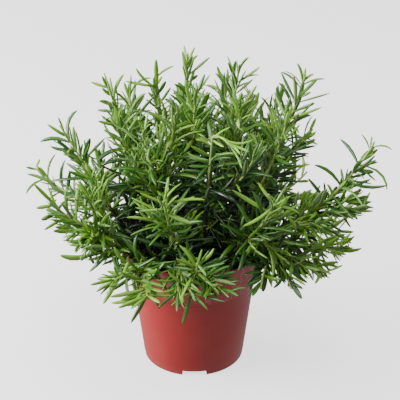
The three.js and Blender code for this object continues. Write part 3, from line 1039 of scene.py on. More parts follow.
YOUNG, LIGHT, DARK = Tone.YOUNG, Tone.LIGHT, Tone.DARK
SEEN_LEAVES = leaves_seen(
    # the left shoot of the crown
    (111, 94, 104, 72), (108, 90, 102, 76), (106, 90, 91, 82), (115, 98, 124, 74, 3.5, 2),
    (105, 99, 102, 88), (110, 107, 99, 101, 2.6, -1.5), (108, 114, 97, 110), (109, 130, 98, 121),
    # the branch beside it
    (138, 100, 131, 74, 4), (135, 98, 124, 82), (139, 103, 110, 105, 2.4, -7),
    (140, 98, 152, 78, 2.4, 4.5),
    # the second shoot
    (157, 95, 166, 81, 3.6, 0, DARK), (158, 105, 171, 87), (158, 100, 148, 92, 2.8),
    (157, 92, 147, 85, 2.6, -2), (158, 108, 146, 99), (156, 86, 162, 76, 2.6), (157, 89, 156, 59, 4),
    (155, 87, 136, 68, 2.6, 2), (155, 87, 125, 81), (154, 78, 174, 66, 2.4, 2),
    # the tallest shoot
    (188, 97, 174, 84, 2.8, -2), (188, 90, 178, 82, 2.8), (188, 104, 172, 93, 3, -2),
    (188, 98, 204, 88, 3, 2), (195, 100, 211, 92), (186, 70, 184, 45, 2.6), (187, 67, 182, 49, 2.6),
    (189, 62, 195, 47, 2.2), (190, 70, 198, 55, 3, 1.5), (188, 63, 188, 52, 2.4), (183, 84, 182, 51, 2.6),
    (190, 77, 210, 57, 2.6), (190, 83, 198, 75), (196, 86, 205, 74, 3, 0, DARK), (197, 84, 210, 74),
    # the right shoot of the crown
    (236, 78, 227, 55), (238, 75, 249, 57, 2.8, 2), (237, 72, 237, 60, 2.2), (238, 82, 260, 67),
    (239, 83, 259, 75, 2.6, 2), (237, 94, 253, 79), (243, 99, 257, 85), (233, 101, 256, 95, 3, 2.5),
    (228, 81, 228, 62, 2.8, 0, DARK), (226, 83, 217, 66), (224, 94, 207, 85, 3, -2),
    (262, 111, 259, 92, 4),
    # the far right shoot of the crown
    (301, 80, 297, 63, 2.6, -1.5), (302, 80, 306, 68, 2.6), (298, 83, 284, 71, 2.4, -2),
    (298, 88, 281, 72, 2.6, -2), (295, 101, 281, 72, 2.8, 0, DARK), (303, 82, 314, 74, 2.6, 1.5),
    (305, 86, 325, 79, 2.4, 2), (302, 97, 318, 78, 3.5), (301, 103, 330, 93, 2.2), (300, 113, 315, 103),
    (305, 123, 322, 107), (303, 128, 316, 118), (281, 113, 274, 92), (280, 94, 283, 84),
    (303, 99, 311, 92), (304, 137, 316, 132, 3.5), (303, 152, 318, 145, 2.6, 3), (297, 170, 311, 164),
    (296, 178, 309, 181),
    # the upper left shoot
    (66, 136, 47, 124, 3.6), (64, 131, 58, 117, 2.6), (73, 140, 78, 110, 4.4, 6, DARK),
    (70, 144, 40, 142, 3.8, -3.7, DARK), (73, 149, 50, 146, 3.4, 1.7, DARK),
    (81, 160, 56, 139, 3.4, 0, DARK), (89, 158, 90, 138, 4.8, 0, DARK), (92, 156, 105, 138, 2.6),
    (66, 185, 66, 159, 4.2, 3, DARK), (87, 180, 66, 163, 4, 0, DARK), (85, 183, 68, 171, 3.4, 0, DARK),
    (70, 185, 70, 171, 3.4, 0, DARK), (98, 160, 104, 141, 3.2, 0, DARK), (103, 162, 98, 150, 3.2, 0, DARK),
    # the far left shoot
    (37, 170, 26, 167, 2.2), (38, 166, 40, 159, 2.2), (50, 180, 37, 166), (49, 177, 56, 154, 2.2, 3),
    (55, 185, 27, 174, 3.2, -2), (45, 180, 26, 194, 2.4, -3), (57, 207, 34, 184, 3.5),
    (50, 201, 36, 208, 3.5), (54, 215, 41, 220, 4, 0, DARK), (64, 218, 44, 230, 3, 0, LIGHT),
    # the lower left
    (69, 232, 55, 227), (75, 236, 53, 231, 4.5, 0, LIGHT), (74, 237, 65, 241), (90, 251, 60, 255, 5, 3),
    (85, 254, 81, 261), (90, 254, 94, 264), (111, 262, 89, 272, 3.5), (104, 257, 97, 262),
    (112, 262, 118, 272), (116, 260, 120, 271), (130, 260, 120, 269),
    # the upper right shoot
    (369, 150, 361, 134, 2.2, -1.5), (371, 150, 372, 136, 2.6), (373, 147, 375, 141, 2.4),
    (377, 151, 392, 150, 2.2, 2.5), (359, 165, 340, 139, 3.5, -2.5, DARK), (363, 169, 378, 162, 2.6),
    (366, 172, 387, 191, 2.4, 6), (352, 189, 388, 185, 3.2, -3), (343, 189, 314, 165, 3.5, -4.6, DARK),
    (360, 166, 370, 150, 4, 1.5), (366, 164, 378, 149, 3.2, 0, LIGHT), (364, 160, 375, 146, 3.2, 0, LIGHT),
    (354, 174, 361, 160, 3.4, 1, DARK), (358, 172, 374, 172, 4.6), (362, 170, 376, 181, 2.4),
    (352, 180, 366, 174, 3, 0, DARK), (350, 184, 372, 184, 2.6, 1), (346, 192, 355, 180, 3.6, 0, DARK),
    (346, 196, 362, 189, 3.4, 0, DARK), (342, 198, 358, 196, 3.2), (341, 190, 343, 176, 3.2, 0, DARK),
    (337, 196, 344, 182, 3.4, 0, DARK), (332, 200, 337, 186, 3.4, 0, DARK), (328, 204, 334, 190, 3.2),
    (346, 184, 352, 170, 3, 0, DARK), (345, 184, 341, 168, 2.6), (348, 182, 348, 168, 2.6),
    (335, 199, 327, 184, 2.6, -1.5), (320, 194, 324, 182, 2.6), (330, 205, 308, 178, 3, 0, DARK),
    # the branch below it
    (358, 200, 370, 192), (352, 200, 372, 202, 3.2), (344, 202, 374, 208, 2.8), (347, 216, 374, 211, 3.5),
    (339, 223, 363, 216), (340, 223, 351, 228, 2.2), (333, 230, 354, 232),
    # the lower right
    (340, 250, 355, 236, 3.5, 0, YOUNG), (337, 250, 351, 233, 3, 0, YOUNG),
    (331, 255, 362, 248, 3.8, -3, LIGHT), (331, 254, 354, 248, 3, 0, LIGHT),
    (314, 254, 341, 236, 4.6, 0, LIGHT), (328, 267, 343, 265, 2.8, 0, YOUNG),
    (325, 265, 336, 263, 2.6, 0, LIGHT), (306, 268, 330, 278, 3, 0, LIGHT),
    (325, 267, 315, 284, 2.6, 0, LIGHT), (302, 276, 314, 281, 2.8, 0, LIGHT),
    # the right of the pot
    (274, 269, 263, 292, 5.5, 0, DARK), (280, 272, 273, 288, 3, 2, DARK),
    (292, 276, 302, 299, 4.5, 0, DARK), (298, 276, 303, 289, 3, 0, DARK), (294, 280, 289, 287, 3, 0, DARK),
    (279, 271, 292, 282, 3.5, 0, DARK), (258, 281, 248, 296, 3, 0, DARK), (247, 270, 243, 285, 3, 0, DARK),
    (253, 270, 255, 282, 3, 0, DARK), (228, 279, 234, 292, 3, 0, DARK),
    # the right front shoot
    (258, 243, 233, 226), (258, 243, 232, 231), (258, 243, 243, 258), (258, 243, 257, 226, 2.6),
    (258, 243, 254, 257), (274, 208, 243, 226, 3.5, 2), (268, 212, 232, 190, 4), (276, 206, 258, 182, 3.2),
    (278, 208, 300, 214, 3, 2), (280, 212, 296, 232, 3, 3), (274, 206, 291, 196, 2.6),
    (272, 236, 299, 222, 3, 2),
    # the middle front shoot
    (197, 265, 202, 249, 2.8, 0, LIGHT), (202, 265, 214, 248, 3, -2, LIGHT), (196, 267, 176, 259),
    (194, 272, 174, 267, 3, 0, DARK), (193, 283, 168, 271, 2.6, 2), (200, 270, 225, 263, 3, 0, DARK),
    (200, 278, 232, 275, 3.5, 0, DARK), (199, 286, 224, 286, 2.6), (198, 289, 226, 302, 3, 0, DARK),
    (204, 293, 208, 310, 3, 0, DARK), (194, 291, 182, 325, 3.8, 0, DARK), (193, 291, 171, 306),
    (174, 297, 158, 308, 3, 0, DARK), (176, 303, 177, 312, 3, 0, DARK), (179, 303, 185, 310, 3, 0, DARK),
    # the lower left front shoot
    (124, 279, 107, 271, 3.4, 0, LIGHT), (122, 287, 99, 288, 4), (130, 291, 110, 297, 4),
    (136, 281, 152, 290, 4.4), (140, 284, 158, 297, 4.2), (137, 288, 148, 300, 4, 0, LIGHT),
    (134, 295, 111, 303, 4, 1, LIGHT), (141, 292, 121, 300, 4.2), (132, 283, 112, 284, 4.4, 0, LIGHT),
    (146, 296, 127, 306, 4), (142, 300, 127, 312, 3.4), (134, 285, 150, 293, 4, 0, LIGHT),
    (140, 280, 158, 277, 4), (144, 288, 164, 292, 4), (146, 296, 160, 303, 3.6),
    (122, 276, 128, 262, 3, 0, LIGHT), (118, 278, 114, 266, 2.8, 0, LIGHT),
    (118, 282, 101, 274, 3.2, 0, LIGHT), (117, 282, 90, 285, 3, 0, LIGHT),
    (111, 276, 97, 279, 3, 0, LIGHT), (122, 286, 96, 292, 3.4, 0, LIGHT),
    (128, 289, 103, 304, 4, 0, LIGHT), (138, 299, 118, 308, 4), (151, 302, 131, 323, 4.4, 0, DARK),
    (131, 284, 165, 287, 5, 0, LIGHT), (136, 276, 156, 257, 4, 0, DARK), (151, 281, 166, 261, 4, 0, DARK),
    (153, 293, 176, 296, 4), (123, 278, 140, 266, 2.2, 3, LIGHT),
    # dark leaves over the rim
    (262, 280, 246, 286, 3.6, 0, DARK), (264, 272, 243, 276, 3.6, -2, DARK),
    (266, 265, 244, 267, 3.6, -2, DARK), (267, 262, 246, 260, 3.4, -2, DARK),
    (262, 284, 252, 296, 3.4, 0, DARK), (264, 270, 250, 290, 3.4, -2, DARK),
    (220, 289, 240, 281, 3.6, 2, DARK), (226, 294, 246, 288, 3.4, 2, DARK),
    (212, 283, 236, 272, 3.8, 2, DARK), (206, 280, 230, 266, 3.6, 2, DARK),
    (212, 283, 226, 268, 3.4, 0, DARK), (220, 289, 238, 296, 3.4, 1, DARK),
    (204, 278, 222, 262, 3.4, 0, DARK), (266, 266, 256, 252, 3.2, 0, DARK),
    (229, 256, 218, 272, 3.4, 1, DARK), (224, 261, 210, 280, 4, -1.5, DARK),
    (234, 251, 226, 272, 3.6, 2, DARK), (239, 247, 232, 266, 3.4, 0.5, DARK),
    (220, 266, 222, 286, 4, 1, DARK), (234, 265, 240, 285, 3.6, -1.5, DARK),
    (241, 260, 236, 281, 3.4, 2, DARK), (250, 256, 247, 280, 4, 0.5, DARK),
    (250, 256, 258, 272, 3.6, 1, DARK), (260, 254, 256, 276, 3.4, -1.5, DARK),
    (245, 258, 243, 278, 4, 2, DARK), (260, 254, 268, 272, 3.6, 0.5, DARK),
    (234, 266, 226, 282, 3.4, 1, DARK), (228, 262, 214, 268, 4, -1.5, DARK),
    (241, 260, 226, 270, 3.6, 2, DARK), (255, 255, 262, 282, 3.4, 0.5, DARK),
    (151, 263, 140, 284, 4, 1, DARK), (157, 264, 150, 284, 3.6, -1.5, DARK),
    (144, 265, 132, 280, 3.4, 2, DARK), (162, 266, 163, 286, 4, 0.5, DARK),
    (141, 256, 126, 266, 3.6, 1, DARK), (132, 253, 120, 262, 3.4, -1.5, DARK),
    (177, 258, 168, 276, 4, 2, DARK), (178, 266, 186, 284, 3.6, 0.5, DARK),
    (178, 275, 168, 290, 3.4, 1, DARK), (178, 280, 190, 294, 4, -1.5, DARK),
    (181, 259, 192, 278, 3.6, 2, DARK), (148, 261, 160, 280, 3.4, 0.5, DARK),
    (178, 285, 166, 300, 4, 1, DARK), (196, 272, 190, 290, 3.6, -1.5, DARK),
    (203, 278, 200, 296, 3.4, 2, DARK), (212, 283, 210, 298, 4, 0.5, DARK),
    (212, 283, 222, 296, 3.6, 1, DARK), (203, 278, 214, 290, 3.4, -1.5, DARK),
    (144, 268, 150, 292, 4, 2, DARK), (137, 268, 126, 282, 3.6, 0.5, DARK),
    (173, 242, 160, 262, 3.4, 1, DARK), (175, 246, 190, 262, 4, -1.5, DARK),
    (232, 252, 244, 268, 3.6, 2, DARK), (200, 262, 206, 276, 3.4, 0.5, DARK),
    # the left front shoot
    (167, 202, 182, 183, 3.3, 2), (163, 206, 205, 200, 3, 3), (168, 213, 192, 224, 5),
    (182, 216, 201, 202, 3.8), (192, 222, 205, 210, 3.8), (162, 200, 167, 188, 2.6, 0, LIGHT),
    (157, 205, 140, 193, 3, 0, LIGHT), (163, 210, 140, 211), (176, 239, 199, 231, 2.8, -2, LIGHT),
    (184, 243, 215, 238, 3, 0, DARK),
    # the shoot whose tip has bent over
    (210, 160, 187, 152, 3, 2), (210, 172, 184, 170, 3, 0, DARK), (210, 176, 190, 186, 3, 0, DARK),
    (211, 168, 240, 164, 3, 2), (210, 182, 238, 176, 3.4, 2, LIGHT), (209, 190, 186, 186, 3, -2, DARK),
    (208, 196, 224, 211, 2.6, 3, LIGHT), (208, 200, 190, 206, 3, 0, DARK),
    (209, 192, 232, 200, 3.4, 2, DARK), (207, 208, 228, 222, 3.6, 1, DARK),
    (206, 214, 188, 228, 3.6, 0, DARK), (213, 163, 214, 147, 4.8, 0, DARK),
    (209, 143, 208, 123, 3.8, 0, DARK), (209, 156, 191, 146), (211, 156, 235, 153, 3, 1),
    (209, 180, 213, 166, 3.4, 0, DARK), (208, 190, 214, 174, 3.4, 0, DARK),
    (207, 198, 203, 182, 3.4, 0, DARK), (207, 204, 214, 189, 3.4, 1, DARK),
    (206, 210, 199, 196, 3.4, 0, DARK), (206, 214, 217, 202, 3.4, 0, DARK),
    (208, 186, 196, 175, 3, 0, DARK), (238, 183, 256, 190, 3.4, 2, DARK),
    (233, 187, 222, 171, 3.4, 0, DARK), (227, 193, 246, 200, 3.6, 2, DARK),
    (220, 199, 228, 216, 3.6, 0, DARK), (240, 180, 262, 176, 3.2, 2, DARK),
    (246, 173, 232, 162, 3, 0, DARK), (210, 165, 196, 180, 3, 0, DARK), (210, 156, 226, 166, 3, 2),
    (211, 147, 196, 140, 3, -2), (213, 137, 231, 127, 2.6, 1, YOUNG), (222, 139, 254, 139, 2.4, -5, YOUNG),
    (225, 142, 249, 152, 2.6, 0, YOUNG), (225, 143, 240, 155, 2.6, 1.5, YOUNG),
    (226, 144, 242, 169, 2.4, 2, LIGHT), (212, 140, 224, 147, 3, 0, YOUNG),
    (210, 143, 219, 135, 2.6, 1.5, YOUNG), (213, 136, 227, 142, 3, 1.5, YOUNG),
    (217, 136, 229, 145, 2.6, 1.5, YOUNG), (213, 163, 189, 157), (210, 166, 188, 166),
    (216, 180, 233, 174), (216, 181, 228, 190, 2.8), (218, 155, 236, 155), (215, 170, 246, 163, 3, 2),
    # the shoot left of it
    (159, 151, 178, 143, 3.8), (154, 184, 175, 174), (152, 160, 144, 142, 2.8, 0, LIGHT),
    (150, 150, 165, 137),
    # the pale curled leaf in the crown
    (250, 119, 243, 131, 3, -2.5, YOUNG),
)

# where the dense foliage ends in the photograph, clockwise; only seen leaves reach past it
CROWN_EDGE = (
    (98, 262), (84, 258), (66, 240), (58, 228), (50, 216), (46, 204), (50, 192), (40, 180), (40, 168),
    (50, 172), (60, 182), (62, 170), (64, 152), (56, 142), (62, 130), (74, 128), (80, 142), (90, 144),
    (98, 150), (103, 162), (110, 166), (112, 156), (108, 146), (106, 134), (103, 120), (104, 106),
    (101, 92), (105, 80), (116, 82), (120, 94), (126, 90), (131, 80), (140, 88), (146, 96), (152, 84),
    (157, 72), (161, 82), (166, 82), (170, 87), (174, 86), (180, 84), (183, 70), (184, 56), (192, 56),
    (196, 76), (206, 78), (203, 88), (208, 96), (214, 86), (217, 72), (228, 68), (236, 62), (244, 70),
    (252, 80), (252, 94), (256, 104), (262, 98), (270, 96), (275, 90), (282, 84), (286, 92),
    (292, 82), (299, 70), (308, 78), (310, 94), (314, 108), (314, 122), (308, 130), (314, 138),
    (312, 148), (304, 156), (304, 168), (300, 180), (292, 190), (300, 196), (308, 190), (318, 194),
    (326, 190), (334, 200), (344, 184), (352, 172), (362, 160), (370, 148), (378, 152), (372, 166),
    (370, 180), (362, 190), (370, 202), (366, 212), (352, 218), (346, 230), (350, 240), (350, 250),
    (338, 260), (334, 270), (322, 276), (308, 276), (302, 286), (295, 286), (288, 278), (278, 280),
    (268, 286), (260, 280), (255, 274), (250, 282), (240, 280), (230, 286), (222, 292), (214, 296),
    (206, 300), (198, 298), (190, 304), (182, 304), (172, 300), (160, 304), (150, 306), (140, 306),
    (126, 302), (112, 300), (102, 294), (97, 284), (104, 276), (116, 274), (124, 270), (112, 264),
)


@dataclass(frozen=True)
class Heart:
    """The dark hollow in the middle of the plant as the photograph shows it, an ellipse of pixels.

    It ends at a depth in front of the camera. Edge is the outer share of its reach in which it fades out.
    Bare is the share of leaves that is missing in its middle, and thin that of side shoots and tufts.
    """

    middle: Pair = (226, 196)
    reach: Pair = (54, 52)
    edge: float = 0.5
    bare: float = 0.1
    thin: float = 0.4
    depth: float = 1.29

    def shade(self, pixel: Array, depth: float) -> float:
        """How deep in the hollow a place is.

        Args:
            pixel: Where it shows.
            depth: How far it is in front of the camera.

        Returns:
            From 0 to 1.
        """
        across = (pixel[0] - self.middle[0]) / self.reach[0]
        along = (pixel[1] - self.middle[1]) / self.reach[1]
        return fade(1 - math.hypot(across, along), self.edge) if depth < self.depth else 0.0


def within_crown(pixels: Array) -> Array:
    """Which pixels lie within the dense foliage.

    Args:
        pixels: The pixels, one a row.

    Returns:
        True for each that does.
    """
    x, y = pixels[..., 0], pixels[..., 1]
    inside = np.zeros(x.shape, bool)
    corners = np.array(CROWN_EDGE, float)
    for (x0, y0), (x1, y1) in zip(corners, np.roll(corners, 1, axis=0)):
        if y0 != y1:
            inside ^= ((y0 > y) != (y1 > y)) & (x < (x1 - x0) * (y - y0) / (y1 - y0) + x0)
    return inside


# ---- plan of stems


@dataclass(frozen=True)
class Branch:
    """A planned branch: the share of its stem's length where it starts, its tip, and its last slope."""

    at: float
    tip: tuple[float, float, float]
    end: float


@dataclass(frozen=True)
class StemPlan:
    """A planned stem: where it leaves the soil, its tip, its first and last slope, and any branch.

    A soft tip that has bent over ends at the place that crook gives, from the stem's tip.
    """

    root: Pair
    tip: tuple[float, float, float]
    start: float
    end: float
    branch: Branch | None = None
    crook: tuple[float, float, float] | None = None


STEM_PLANS = (
    # the upright crown
    StemPlan((-0.003, 0.005), (-0.005, 0.010, 0.271), 86, 86, Branch(0.42, (0.002, -0.022, 0.254), 80)),
    StemPlan((-0.014, 0.015), (-0.032, 0.035, 0.246), 78, 84),
    StemPlan((-0.024, 0.006), (-0.069, 0.015, 0.244), 66, 74, Branch(0.45, (-0.054, 0.044, 0.230), 78)),
    StemPlan((0.013, 0.007), (0.037, 0.020, 0.257), 80, 82, Branch(0.4, (0.026, 0.056, 0.228), 78)),
    StemPlan((0.025, 0.004), (0.089, 0.010, 0.251), 62, 76, Branch(0.5, (0.095, 0.008, 0.205), 62)),
    StemPlan((0.025, 0.020), (0.074, 0.056, 0.222), 66, 74, Branch(0.45, (0.050, 0.062, 0.212), 78)),
    StemPlan((0.024, -0.012), (0.074, -0.045, 0.243), 66, 76, Branch(0.45, (0.092, -0.018, 0.166), 50)),
    StemPlan(
        (0.007, -0.022), (0.015, -0.070, 0.238), 68, 70, Branch(0.4, (0.048, -0.072, 0.226), 74),
        crook=(0.012, -0.003, -0.003),
    ),
    StemPlan((-0.012, -0.018), (-0.039, -0.055, 0.239), 70, 78, Branch(0.45, (-0.014, -0.048, 0.245), 80)),
    StemPlan((-0.021, -0.007), (-0.060, -0.028, 0.230), 68, 76),
    StemPlan((0.011, -0.007), (0.037, -0.030, 0.245), 76, 82),
    StemPlan((0.000, 0.029), (0.000, 0.080, 0.204), 72, 76),
    # the front, from left to right
    StemPlan((-0.040, -0.001), (-0.109, 0.000, 0.217), 48, 60),
    StemPlan((-0.037, -0.016), (-0.112, -0.050, 0.170), 48, 52, Branch(0.4, (-0.084, -0.038, 0.172), 66)),
    StemPlan((-0.033, -0.027), (-0.091, -0.065, 0.130), 57, 4, Branch(0.45, (-0.103, -0.034, 0.141), 24)),
    StemPlan((-0.023, -0.037), (-0.062, -0.095, 0.127), 60, 6, Branch(0.5, (-0.036, -0.102, 0.116), -30)),
    StemPlan((-0.008, -0.033), (-0.023, -0.085, 0.192), 60, 66, Branch(0.3, (-0.012, -0.098, 0.118), -20)),
    StemPlan((0.002, -0.043), (0.003, -0.100, 0.145), 54, 72, Branch(0.5, (0.028, -0.103, 0.116), -24)),
    StemPlan((0.021, -0.031), (0.063, -0.085, 0.189), 56, 66, Branch(0.42, (0.086, -0.060, 0.160), 54)),
    StemPlan((0.032, -0.031), (0.107, -0.070, 0.119), 60, -14, Branch(0.5, (0.079, -0.079, 0.109), -36)),
    StemPlan((0.037, -0.020), (0.137, -0.080, 0.236), 40, 62, Branch(0.52, (0.136, -0.073, 0.181), 34)),
    StemPlan((0.042, -0.009), (0.128, -0.040, 0.126), 56, 20, Branch(0.3, (0.054, -0.084, 0.112), -34)),
    StemPlan((0.043, 0.004), (0.131, 0.000, 0.117), 58, -4, Branch(0.42, (0.108, 0.030, 0.146), 56)),
    # the back, from left to right
    StemPlan((-0.040, 0.014), (-0.138, 0.060, 0.148), 52, 46, Branch(0.36, (-0.080, 0.032, 0.180), 72)),
    StemPlan((-0.033, 0.028), (-0.095, 0.086, 0.132), 58, 20),
    StemPlan((-0.020, 0.030), (-0.058, 0.084, 0.176), 62, 66, Branch(0.42, (-0.044, 0.101, 0.128), 26)),
    StemPlan((-0.007, 0.040), (-0.016, 0.098, 0.156), 58, 56),
    StemPlan((0.010, 0.042), (0.028, 0.098, 0.132), 60, 26),
    StemPlan((0.018, 0.031), (0.044, 0.086, 0.176), 62, 66, Branch(0.45, (0.066, 0.092, 0.142), 36)),
    StemPlan((0.036, 0.025), (0.100, 0.072, 0.138), 58, 36),
)


# ---- a shoot


def heading_vector(heading: float, slope: float) -> Vector:
    """The unit vector of a heading in radians and a slope in degrees."""
    flat = math.cos(math.radians(slope))
    return Vector((flat * math.cos(heading), flat * math.sin(heading), math.sin(math.radians(slope))))


class ShootKind(Enum):
    """What a shoot is, with the share of its length that stays bare of all but seen leaves."""

    STEM = 0.07
    BRANCH = 0.06
    SIDE_SHOOT = 0.16
    CROOK = 1.0


@dataclass
class Shoot:
    """One stem, branch, side shoot or crook: its curve, its radii and its kind.

    The stem itself also has a foot in the soil. Age is that of its lowest wood, with 0 at its tip.
    """

    handles: tuple[Vector, Vector, Vector, Vector]
    radii: Pair
    kind: ShootKind
    foot: Vector | None = None
    age: float = 1.0
    steps: int = 64
    points: Array = field(init=False)
    lengths: Array = field(init=False)

    START_PULL = 0.38
    END_PULL = 0.36
    AIM_SHARE = 0.02
    SHORTEST_AIM = 1e-4

    def __post_init__(self) -> None:
        """Lays points along the curve and measures it."""
        share = np.linspace(0, 1, self.steps + 1)[:, None]
        a, b, c, d = [np.array(handle) for handle in self.handles]
        rest = 1 - share
        self.points = rest**3 * a + 3 * rest**2 * share * b + 3 * rest * share**2 * c + share**3 * d
        stretches = np.linalg.norm(np.diff(self.points, axis=0), axis=1)
        self.lengths = np.concatenate([[0], np.cumsum(stretches)])

    @classmethod
    def between(
        cls,
        start: Vector,
        first: Vector,
        tip: Vector,
        slope: float,
        radii: Pair,
        kind: ShootKind,
    ) -> "Shoot":
        """A shoot between two places.

        Args:
            start: Its start.
            first: The direction that it starts in.
            tip: Its tip.
            slope: Its slope at the tip.
            radii: Its radius at the start and at the tip.
            kind: What it is.

        Returns:
            The shoot.
        """
        reach = (tip - start).length
        last = heading_vector(math.atan2(tip.y - start.y, tip.x - start.x), slope)
        handles = (start, start + first * cls.START_PULL * reach, tip - last * cls.END_PULL * reach, tip)
        return cls(handles, radii, kind)

    @property
    def length(self) -> float:
        """The shoot's length along its curve."""
        return float(self.lengths[-1])

    def place(self, distance: float) -> Vector:
        """The place at a distance along the shoot."""
        return Vector([np.interp(distance, self.lengths, self.points[:, axis]) for axis in range(3)])

    def at(self, distance: float) -> tuple[Vector, Vector, float]:
        """The shoot at a distance along it.

        Args:
            distance: The distance from its start.

        Returns:
            The place, the direction of growth and the radius there.
        """
        step = max(self.length * self.AIM_SHARE, self.SHORTEST_AIM)
        growth = (self.place(distance + step) - self.place(distance - step)).normalized()
        radius = self.radii[0] + (self.radii[1] - self.radii[0]) * fade(distance, self.length)
        return self.place(distance), growth, radius


# ---- leaves


@dataclass(frozen=True)
class LeafStage:
    """What a leaf is like at a distance below its shoot's tip: its size, its lean and its age."""

    below: float
    length: float
    width: float
    lean: float
    age: float


LEAF_STAGES = (
    LeafStage(0.000, 0.0160, 0.0020, 10, 0.00),
    LeafStage(0.007, 0.0215, 0.0027, 22, 0.10),
    LeafStage(0.016, 0.0275, 0.0032, 34, 0.25),
    LeafStage(0.034, 0.0325, 0.0036, 46, 0.50),
    LeafStage(0.060, 0.0345, 0.0039, 56, 0.80),
    LeafStage(0.080, 0.0345, 0.0039, 62, 1.00),
    # the lowest leaves are old, and their age past 1 also paints shade: they take the near black painted
    # shade colour
    LeafStage(0.120, 0.0320, 0.0039, 66, 1.90),
)


def leaf_stage(below: float) -> LeafStage:
    """The stage of a leaf that far below its shoot's tip, between the listed ones."""
    known, *parts = np.array([astuple(stage) for stage in LEAF_STAGES]).T
    return LeafStage(below, *(float(np.interp(below, known, part)) for part in parts))


@dataclass
class LeafShape:
    """One leaf of unit length and width along +Y, upper side towards +Z, modelled once and copied.

    Widths are its width at each level along it. Section is its outline across, from its right edge over
    its upper side to its left edge and the rib below.
    """

    levels: tuple[float, ...] = (0.0, 0.06, 0.20, 0.42, 0.65, 0.85, 0.96, 1.0)
    widths: tuple[float, ...] = (0.34, 0.52, 0.78, 0.98, 1.0, 0.76, 0.40, 0.0)
    section: tuple[Pair, ...] = (
        (0.50, -0.10), (0.27, 0.19), (0.0, 0.09), (-0.27, 0.19), (-0.50, -0.10), (0.0, -0.24)
    )
    points: Array = field(init=False)
    level_of: Array = field(init=False)
    faces: list = field(init=False)
    corner_uv: Array = field(init=False)
    corner_under: Array = field(init=False)

    UNDERSIDE = -0.15
    THINNEST = 1e-3
    NEAR = 1e-3
    ASIDE = 10

    def __post_init__(self) -> None:
        """Models the leaf, reads its mesh and removes it."""
        leaf = self.modelled()
        self.points = np.array([vertex.co for vertex in leaf.data.vertices])
        self.level_of = np.abs(self.points[:, 1:2] - np.array(self.levels)).argmin(axis=1)
        self.faces = [list(face.vertices) for face in leaf.data.polygons]
        uv, under = [], []
        for face in leaf.data.polygons:
            lowest = min(self.points[i, 2] / self.width_at(i) for i in face.vertices)
            for i in face.vertices:
                uv.append((self.points[i, 0] / self.width_at(i) + 0.5, self.points[i, 1]))
                under.append(float(lowest < self.UNDERSIDE))
        self.corner_uv = np.array(uv)
        self.corner_under = np.array(under)
        bpy.data.objects.remove(leaf, do_unlink=True)

    def width_at(self, vertex: int) -> float:
        """The leaf's width at a vertex, and never nothing."""
        return max(self.widths[self.level_of[vertex]], self.THINNEST)

    def modelled(self) -> Piece:
        """The leaf, from a six-sided rod.

        Each long edge of the rod goes to its place in the section, and aside so it isn't picked again.

        Returns:
            The leaf's object.
        """
        deselect_all()
        bpy.ops.mesh.primitive_cylinder_add(
            vertices=len(self.section),
            radius=0.5,
            depth=1,
            end_fill_type="NGON",
            location=(0, 0.5, 0),
            rotation=(math.pi / 2, 0, 0),
        )
        leaf = name_active("leaf")
        settle(leaf)
        columns = sorted(
            {(round(v.co.x, 4), round(v.co.z, 4)) for v in leaf.data.vertices},
            key=lambda c: math.atan2(c[1], c[0]) % (2 * math.pi),
        )
        with editing(leaf):
            for (x, z), (new_x, new_z) in zip(columns, self.section):
                select_where(leaf, lambda co: abs(co.x - x) < self.NEAR and abs(co.z - z) < self.NEAR)
                bpy.ops.transform.translate(value=(new_x - x + self.ASIDE, 0, new_z - z))
            bpy.ops.mesh.select_all(action="SELECT")
            bpy.ops.transform.translate(value=(-self.ASIDE, 0, 0))
            for level in self.levels[1:-1]:
                bpy.ops.mesh.select_all(action="SELECT")
                bpy.ops.mesh.bisect(plane_co=(0, level, 0), plane_no=(0, 1, 0))
            for level, width in zip(self.levels, self.widths):
                select_where(leaf, lambda co: abs(co.y - level) < self.NEAR)
                if width > 0:
                    bpy.ops.transform.resize(value=(width, 1, width), center_override=(0, level, 0))
                else:
                    bpy.ops.mesh.merge(type="CENTER")
            bpy.ops.mesh.select_all(action="SELECT")
            bpy.ops.mesh.normals_make_consistent(inside=False)
        return leaf


FACE_UP = Vector((0, 0, 0.8))


@dataclass
class LeafRow:
    """One leaf to be grown.

    It leaves its root at its lean, the angle from the stem's growth to the way straight out of the stem.
    Towards its tip the lean grows by its bend, and it swings aside and rises by its lift. Its upper side
    twists about its length and turns to the face. Age and tint give its colour.
    """

    root: Vector
    growth: Vector
    away: Vector
    length: float
    width: float
    lean: float
    bend: float
    swing: float
    twist: float
    lift: float
    age: float
    tint: float
    face: Vector = FACE_UP
    seen: bool = False


